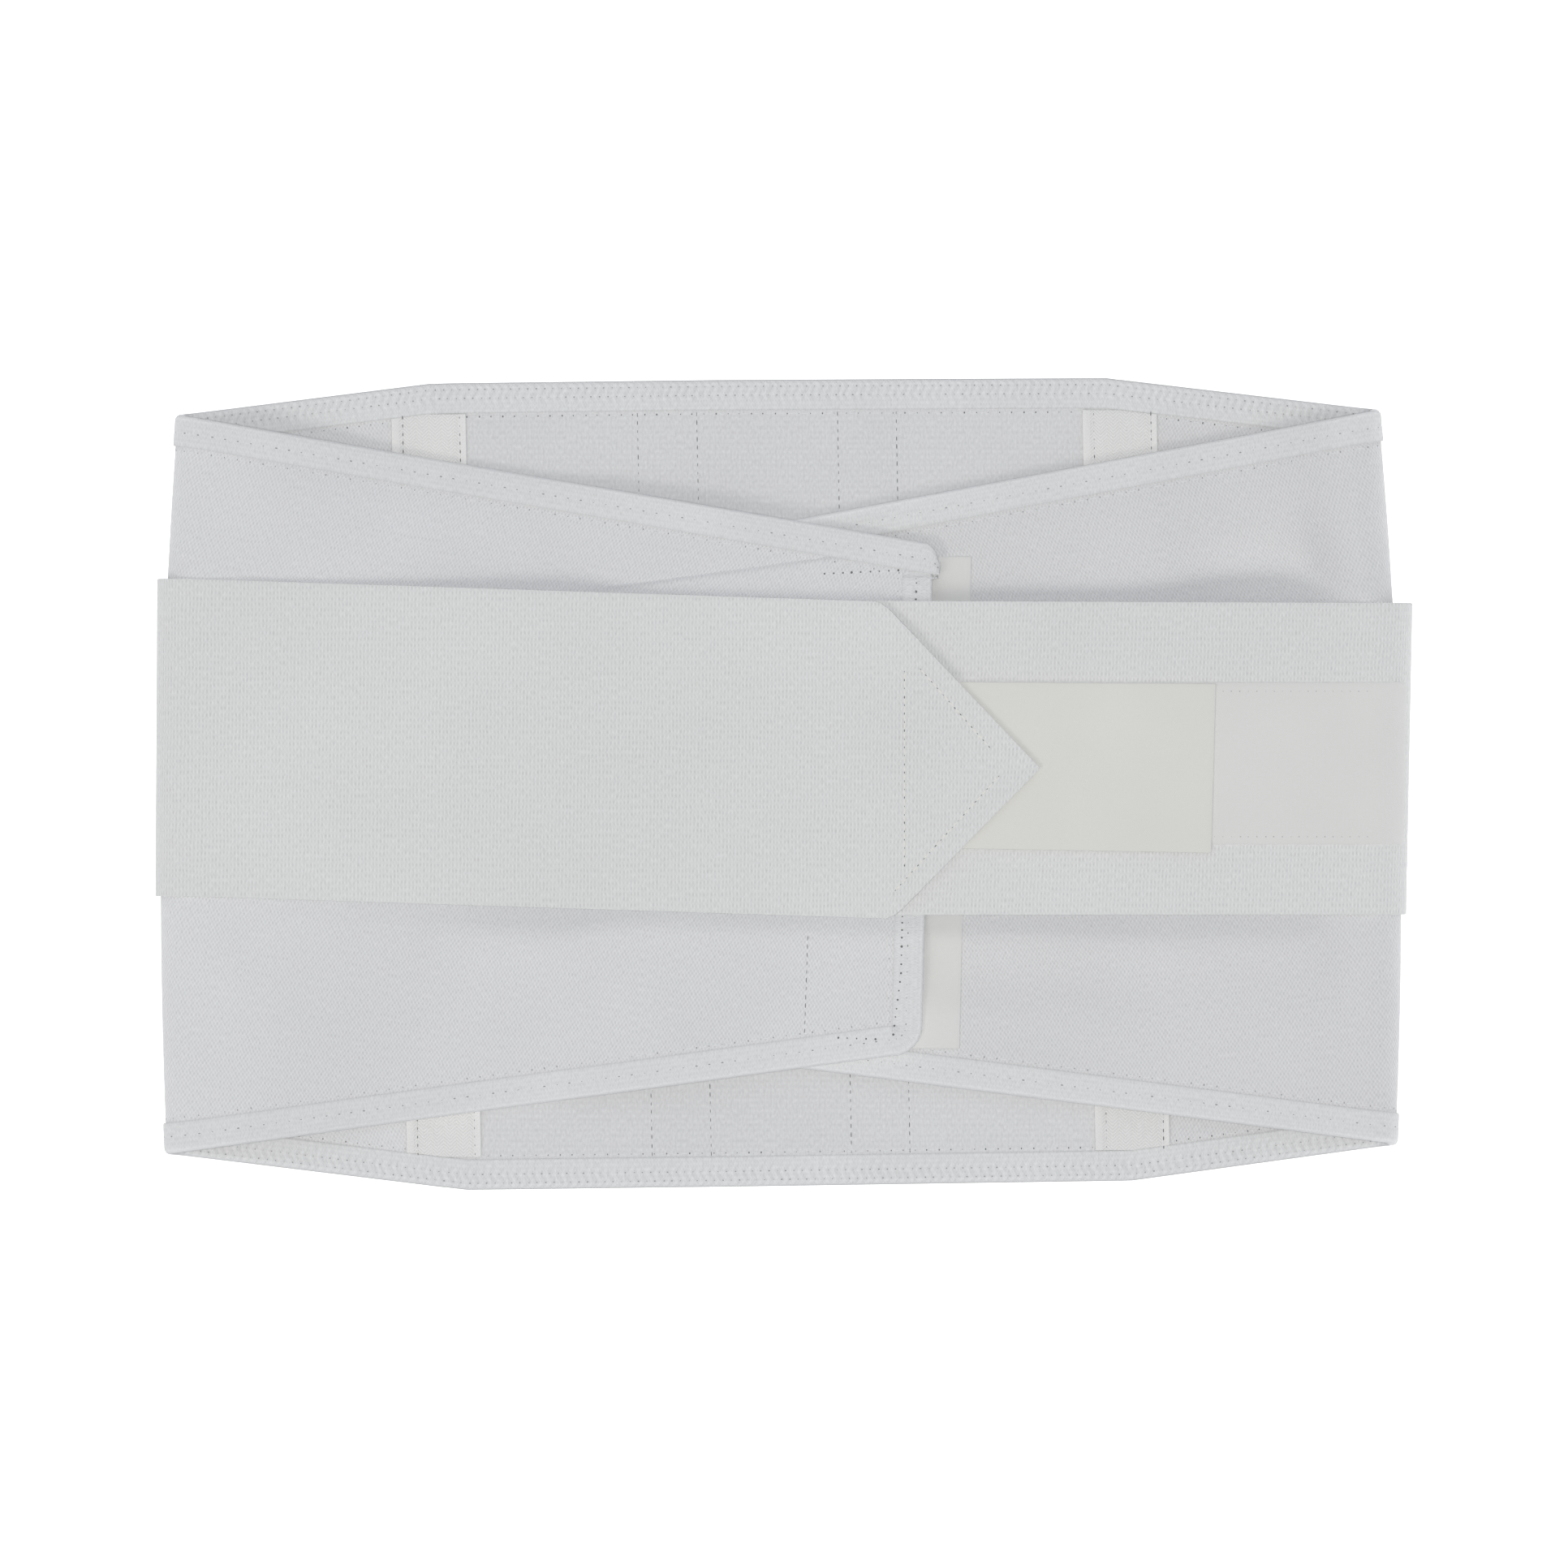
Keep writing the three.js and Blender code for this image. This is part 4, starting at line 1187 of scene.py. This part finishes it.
def binding_section(count=22):
    """Rows round the section of a binding: d, n and place across the tape, outside first, then the slot."""
    rows = []
    for place in np.linspace(0, BINDING_WIDTH, count):
        thin = LIP_THIN * (1 - float(ease(min(place, BINDING_WIDTH - place) / LIP_REACH)))
        turn = min(max((place - BINDING_FLAT) / BINDING_OUT, 0.0), math.pi)
        if turn <= 0:
            rows.append((BINDING_REACH - place, BINDING_OUT - thin, place))
        elif turn >= math.pi:
            rows.append((place - INSIDE_START, thin - BINDING_OUT, place))
        else:
            rows.append((BINDING_OUT * (1 - math.sin(turn)), BINDING_OUT * math.cos(turn), place))
    slot_d = (BINDING_REACH, EDGE_INSET, EDGE_INSET, BINDING_REACH)
    slot_n = (-BINDING_SLOT, -BINDING_SLOT, BINDING_SLOT, BINDING_SLOT)
    rows.extend((d, n, BINDING_WIDTH) for d, n in zip(slot_d, slot_n))
    rows.append(rows[0])
    return np.array(rows)


def gathers(run, d, n):
    """How far the sewing draws a binding in: slanting gathers inside the loop, faint dimples outside."""
    mid = ease(d / GATHER_TURN) * ease((BINDING_REACH - d) / GATHER_LIP)
    zigzag = np.abs(np.mod((d - INNER_ROW) / INNER_STEP, 2.0) - 1.0)
    sway = slow_waves(GATHER_SWAY, run, d)
    inside = 0.5 - 0.5 * np.cos(2 * np.pi * (run / GATHER_PITCH + 0.5 * zigzag + sway))
    inside = inside * (1 - GATHER_CALM * ease((d - INNER_ROW - GATHER_END) / GATHER_FADE))
    row = np.exp(-((d - OUTER_ROW) / DIMPLE_REACH) ** 2)
    outside = row * (0.5 - 0.5 * np.cos(2 * np.pi * run / NEEDLE_PITCH))
    return mid * np.where(n < 0, GATHER_DEPTH * inside, DIMPLE_DEPTH * outside)


def make_binding(name, track):
    """Tape folded round a bound edge: a closed tube with a slot that holds the cloth, and its stitches."""
    section = binding_section()
    last = len(section) - 1

    def place(along, across):
        at = across * last
        d = np.interp(at, range(last + 1), section[:, 0])
        n = np.interp(at, range(last + 1), section[:, 1])
        v = np.interp(at, range(last + 1), section[:, 2])
        run = along * track.length
        skin = np.abs(n) > BINDING_SLOT + HAIR
        n = n - np.sign(n) * np.where(skin, gathers(run, d, n), 0.0)
        return track.point(run, d, n), np.stack([run, v], axis=1)

    columns = int(track.length / (GATHER_PITCH / COLUMNS_A_GATHER))
    piece = grid_piece(name + "_tape", columns, last, place)
    close_tube(piece)
    finish_piece(piece, "binding_tape", BINDING_TAPE, replaces=name)
    sew_binding("threads_" + name, track, len(name))


def sew_binding(name, track, seed):
    """Two rows of needle stitches on the outside, and the looped threads that hold them inside; the dark
    beads at their needle holes and dimples are painted shade.
    """
    sewing = Stitching(seed)
    cloth = CLOTH / 2
    outer = BINDING_OUT - 0.13
    inner = -BINDING_OUT + 0.2
    for d, n, pitch, start, hole, thread, kind in (
        (OUTER_ROW, outer, NEEDLE_PITCH, 0.5, (0.42, 0.24, 0.14), (1.2, 0.15, 0.1), DIMPLE),
        (OUTER_CLOTH_ROW, cloth, NEEDLE_PITCH, 0.5, (0.2, 0.36, 0.12), (1.2, 0.14, 0.08), DIMPLE),
        (INNER_ROW, inner, GATHER_PITCH, 0.0, (0.29, 0.23, 0.13), None, DIMPLE),
        (INNER_ROW - INNER_STEP, inner, GATHER_PITCH, 0.5, (0.26, 0.24, 0.12), None, DIMPLE),
        (INNER_ROW + INNER_STEP, inner, GATHER_PITCH, 0.5, (0.26, 0.22, 0.12), None, DIMPLE),
        (INNER_CLOTH_ROW, -cloth, INSIDE_PITCH, 0.5, (0.22, 0.36, 0.12), (1.1, 0.15, 0.1), HOLE),
    ):
        line, normals, run = track_line(track, d, n)
        sewing.row(line, normals, pitch, hole, thread, start, uneven=0.6, kind=kind, run=run)
    sewing.make(name, "binding_tape", *THREADS)


# Straps and fastening

def make_strap(name, strap):
    """Elastic strap, its knit measured along it round the fold, and its woven edges."""
    def place(along, across):
        points = strap_point(strap, along, across)
        fold = STRAP_FOLD_SHARE - STRAP_BACK_SHARE
        turn = np.pi * STRAP_FOLD_RADIUS
        u = strap.side * points[:, 0]
        axis = strap_axis_u(strap, mix(strap.fold_y[0], strap.fold_y[1], across))
        on_fold = axis + turn * (along - STRAP_BACK_SHARE) / fold
        past_back = np.where(along < STRAP_FOLD_SHARE, on_fold, 2 * axis + turn - u)
        length = np.where(along <= STRAP_BACK_SHARE, u, past_back)
        return points, np.stack([length, points[:, 1]], axis=1)

    piece = grid_piece(name + "_elastic", columns=180, rows=44, place=place)
    area = surface_area(piece)
    thicken(piece, STRAP, rounded=0.3)
    finish_piece(piece, "strap_elastic", STRAP_ELASTIC, replaces=name)
    make_selvedges("selvedges_" + name, strap)


def make_selvedges(name, strap):
    """Small turns of the weft along the two woven edges of a strap, as far as its shoulders."""
    sewing = Stitching(seed=3)
    samples, clear_of_shoulder = 1500, 1.0
    weft_turn = (0.5, STRAP * 0.42, 0.2)
    for side in (0, 1):
        shoulder = strap.shoulder_u[side] + clear_of_shoulder
        along = np.linspace(0, 1, samples)
        line = strap_point(strap, along, np.full_like(along, side))
        front = along > STRAP_FOLD_SHARE
        line = line[~front | (strap.side * line[:, 0] > shoulder)]
        out = np.array([0.0, 2.0 * side - 1.0, 0.0])
        normals = np.tile(out, (len(line), 1))
        sewing.row(line, normals, SELVEDGE_PITCH, hole=None, thread=weft_turn)
    sewing.make(name, "strap_elastic", STRAP_ELASTIC)


def strap_top(strap, rise=STRAP / 2):
    """Height of the face that lies a rise above the middle of a strap, as a function of x and y."""
    return lambda x, y: strap_front_z(strap, x, y) + rise


def sew_strap_tip():
    """Stitches of the pointed end: a line across it and two along its edges."""
    sewing = Stitching(seed=4)
    for corners in TIP_ROWS:
        line = drawn_line(corners, strap_top(LEFT_STRAP))
        sewing.row(*line, LOCK_PITCH, hole=(0.42, 0.2, 0.1), thread=(0.8, 0.24, 0.18))
    sewing.make("threads_strap_left", "strap_elastic", CREAM_THREAD, *THREADS[1:])


def make_hook_tab():
    """Hook tape under the point of the left strap, lying on the loop patch."""
    def place(along, across):
        x = mix(HOOK_TAB_LEFT, mix(HOOK_TAB_RIGHT[0], HOOK_TAB_RIGHT[1], across), along)
        bottom = mix(HOOK_TAB_BOTTOM[0], HOOK_TAB_BOTTOM[1], along)
        top = mix(HOOK_TAB_TOP[0], HOOK_TAB_TOP[1], along)
        y = mix(bottom, top, across)
        z = strap_front_z(RIGHT_STRAP, x, y) + TAB_RISE
        return np.stack([x, y, z], axis=1), np.stack([x, y], axis=1)

    piece = grid_piece("hook_tab_tape", columns=54, rows=26, place=place)
    thicken(piece, TAPE, rounded=0.25)
    finish_piece(piece, "hook_and_loop", HOOK_TAPE, replaces="hook_tab")


def make_loop_patch():
    """Loop tape along the right strap and a little way round its fold, thinner towards its rim."""
    front_share = 0.94

    def place(along, across):
        y = mix(LOOP_PATCH_Y[0], LOOP_PATCH_Y[1], across)
        axis = strap_axis_u(RIGHT_STRAP, y)
        x = mix(LOOP_PATCH_LEFT, axis, np.clip(along / front_share, 0, 1))
        turn = LOOP_PATCH_TURN * np.clip((along - front_share) / (1 - front_share), 0, 1)
        rim = np.minimum(y - LOOP_PATCH_Y[0], LOOP_PATCH_Y[1] - y)
        rise = PATCH_RISE - LOOP_PATCH_THIN * (1 - ease(rim / LOOP_PATCH_RIM))
        z = strap_front_z(RIGHT_STRAP, x, y) + rise
        radius = STRAP_FOLD_RADIUS + rise
        x = np.where(turn > 0, axis + radius * np.sin(turn), x)
        z = np.where(turn > 0, STRAP_FOLD_CENTRE + radius * np.cos(turn), z)
        length = x + radius * turn
        return np.stack([x, y, z], axis=1), np.stack([length, y], axis=1)

    piece = grid_piece("loop_patch_tape", columns=120, rows=30, place=place)
    thicken(piece, THIN_TAPE + LOOP_PATCH_THIN, rounded=0.2)
    finish_piece(piece, "hook_and_loop", LOOP_TAPE, replaces="loop_patch")
    sewing = Stitching(seed=5)
    top = strap_top(RIGHT_STRAP, rise=PATCH_RISE + 0.4)
    for y in LOOP_ROWS_Y:
        line = drawn_line([(x, y) for x in LOOP_ROWS_X], top)
        sewing.row(*line, LOCK_PITCH, hole=(0.22, 0.16, 0.08), kind=DIMPLE)
    sewing.make("threads_loop_patch", "hook_and_loop", *THREADS)


def make_wing_hook_strip():
    """Hook tape on the right wing, standing out past the end of the left one."""
    def place(along, across):
        right = mix(HOOK_STRIP_RIGHT[0], HOOK_STRIP_RIGHT[1], across)
        x = mix(right - HOOK_STRIP_WIDTH, right, along)
        y = mix(HOOK_STRIP_Y[0], HOOK_STRIP_Y[1], across)
        z = wing_level(RIGHT_WING, x, y) + CLOTH / 2 + TAPE / 2 + GAP - SETTLE
        return np.stack([x, y, z], axis=1), np.stack([x, y], axis=1)

    piece = grid_piece("wing_hook_strip_tape", columns=12, rows=150, place=place)
    thicken(piece, TAPE, rounded=0.25)
    finish_piece(piece, "hook_and_loop", LOOP_TAPE, replaces="wing_hook_strip")


def sew_back():
    """Lock stitches along the stay channels and the cream tapes."""
    sewing = Stitching(seed=6)
    inside = BACK_LEVEL + CLOTH / 2
    under_binding = 0.3
    reach = BINDING_REACH - under_binding
    for channel in STAY_CHANNELS:
        for share in channel:
            top = np.interp(share, BACK_SHARE, BACK_TOP) - reach
            bottom = np.interp(share, BACK_SHARE, BACK_BOTTOM) + reach
            y = np.arange(bottom, top, LINE_STEP)
            line = np.stack([back_x(share, y), y, np.full_like(y, inside)], axis=1)
            normals = np.tile(UP, (len(y), 1))
            sewing.row(line, normals, LOCK_PITCH, hole=(0.85, 0.17, 0.1), thread=(0.45, 0.17, 0.12))
    for wing in (LEFT_WING, RIGHT_WING):
        for row in STAY_TAPE_ROWS:
            out = -wing.side * row
            y = np.arange(wing.bottom.seam_y + reach, wing.top.seam_y - reach, LINE_STEP)
            x = wing.side * (seam_u(wing, y) + out)
            rise = THIN_TAPE + stay_tape_curl(out)
            line = np.stack([x, y, np.full_like(y, inside + rise)], axis=1)
            normals = np.tile(UP, (len(y), 1))
            sewing.row(line, normals, LOCK_PITCH, hole=(0.7, 0.2, 0.2), thread=(0.55, 0.17, 0.22), uneven=0.4)
    sewing.make("threads_back", "back_cloth", *THREADS)


def sew_wing_end():
    """Box of stitches that holds the hook strip under the end of the left wing."""
    proud = sunk = 0.05

    def on_cloth(x, y):
        return wing_level(LEFT_WING, -x, y) + CLOTH / 2 + proud

    def on_binding(x, y):
        return wing_level(LEFT_WING, -x, y) + BINDING_OUT - sunk

    sewing = Stitching(seed=7)
    inner_row = list(zip(BOX_X, BOX_Y))
    for corners, top, pitch, hole, thread, uneven in (
        (inner_row, on_cloth, LOCK_PITCH, (0.85, 0.14, 0.08), (0.45, 0.14, 0.08), 0.3),
        (BOX_TOP_ROW, on_cloth, BOX_PITCH, (0.38, 0.48, 0.14), (0.9, 0.16, 0.1), 0.5),
        (BOX_BOTTOM_ROW, on_binding, BOX_PITCH, (0.34, 0.42, 0.16), None, 0.5),
        (BOX_OUTER_ROW, on_binding, BOX_PITCH, (0.42, 0.46, 0.18), (0.9, 0.18, 0.14), 0.5),
    ):
        sewing.row(*drawn_line(corners, top), pitch, hole, thread, uneven=uneven)
    sewing.make("threads_wing_left", "wing_cloth", *THREADS)


def make_tape_end():
    """Loose end of the top binding, curling down past the corner of the left wing."""
    left, width, bow, bow_turn = 45.6, 2.3, 0.5, 3.0
    top, length, slant = 68.2, 5.6, 0.25
    rise, droop, crown = 0.9, 1.6, 0.5
    taper_x, taper = 45.8, 0.45
    level = wing_level(LEFT_WING, -45.0, 67.0)

    def place(along, across):
        x = left + width * along + bow * np.sin(across * bow_turn)
        x = taper_x + (x - taper_x) * (1 - taper * across)
        y = top - length * across * (1 - slant * along)
        z = level + rise - droop * across ** 2 + crown * np.sin(along * np.pi)
        return np.stack([x, y, z], axis=1), np.stack([y, x], axis=1)

    piece = grid_piece("binding_top_end", columns=8, rows=12, place=place)
    thicken(piece, thickness=0.7, rounded=0.15)
    finish_piece(piece, "binding_tape", BINDING_TAPE)


# Table, light and camera

def add_softbox(name, location, size, power, colour):
    """A square light that points at the belt."""
    bpy.ops.object.light_add(type="AREA", location=location)
    light = bpy.context.active_object
    light.name = name
    light.data.shape = "SQUARE"
    light.data.size = size
    light.data.energy = power
    light.data.color = colour
    light.rotation_euler = light.location.to_track_quat("Z", "Y").to_euler()
    light.visible_camera = False


# The table is white to the camera. Beside the belt, from an x in metres on, it also lights the folds
SIDE_GLOW_FROM = 0.192
LEFT_GLOW = 0.94
RIGHT_GLOW = 1.25
TABLE_SIDE = 14
TABLE_LEVEL = -0.0005
TABLE_GREY = (0.5, 0.5, 0.5, 1)
SKY_COLOUR = (0.935, 0.985, 1.065, 1)
SKY_STRENGTH = 0.34


def make_stage():
    """A white table, an even sky, a lamp far above, a faint one low on the left, and the camera overhead."""
    bpy.ops.object.select_all(action="DESELECT")
    bpy.ops.mesh.primitive_plane_add(size=TABLE_SIDE)
    floor = bpy.context.active_object
    floor.name = "table"
    material = bpy.data.materials.new("white_table")
    material.use_nodes = True
    shader = material.node_tree.nodes["Principled BSDF"]
    shader.inputs["Base Color"].default_value = TABLE_GREY
    shader.inputs["Roughness"].default_value = 1.0
    shader.inputs["Specular IOR Level"].default_value = 0.0
    shader.inputs["Emission Color"].default_value = (1, 1, 1, 1)
    tree = Tree(material.node_tree)
    seen = tree.add("ShaderNodeLightPath").outputs["Is Camera Ray"]
    place = tree.add("ShaderNodeTexCoord").outputs["Object"]
    across = tree.add("ShaderNodeSeparateXYZ", {"Vector": place}).outputs["X"]
    left_glow = tree.math("MULTIPLY", tree.math("LESS_THAN", across, -SIDE_GLOW_FROM), LEFT_GLOW)
    right_glow = tree.math("MULTIPLY", tree.math("GREATER_THAN", across, SIDE_GLOW_FROM), RIGHT_GLOW)
    glow = tree.math("ADD", left_glow, right_glow)
    tree.plug(tree.math("MAXIMUM", seen, glow), shader.inputs["Emission Strength"])
    floor.data.materials.append(material)
    floor.location.z = TABLE_LEVEL

    world = bpy.data.worlds.new("studio")
    world.use_nodes = True
    sky = world.node_tree.nodes["Background"].inputs
    sky["Color"].default_value = SKY_COLOUR
    sky["Strength"].default_value = SKY_STRENGTH
    bpy.context.scene.world = world

    add_softbox("overhead_light", (0.0, 0.0, 6.5), size=0.3, power=177.0, colour=(1.013, 1.0, 0.985))
    add_softbox("low_softbox", (-0.75, -0.85, 2.35), size=0.7, power=6.6, colour=(1.07, 1.0, 0.92))

    distance = FRAME_SIDE / SENSOR * LENS
    bpy.ops.object.camera_add(location=(0, 0, (distance + FRAME_LEVEL) * MM))
    camera = bpy.context.active_object
    camera.name = "overhead"
    camera.data.lens = LENS
    camera.data.sensor_width = SENSOR
    camera.data.clip_end = 50
    bpy.context.scene.camera = camera
    bpy.context.scene.view_settings.view_transform = "Standard"


make_back_panel()
make_wing("wing_left", LEFT_WING)
make_wing("wing_right", RIGHT_WING)
make_stay_tape("stay_tape_left", LEFT_WING)
make_stay_tape("stay_tape_right", RIGHT_WING)
make_binding("binding_top", TOP_TRACK)
make_binding("binding_bottom", BOTTOM_TRACK)
make_tape_end()
make_strap("strap_left", LEFT_STRAP)
make_strap("strap_right", RIGHT_STRAP)
make_hook_tab()
make_loop_patch()
make_wing_hook_strip()
sew_back()
sew_wing_end()
sew_strap_tip()
make_stage()
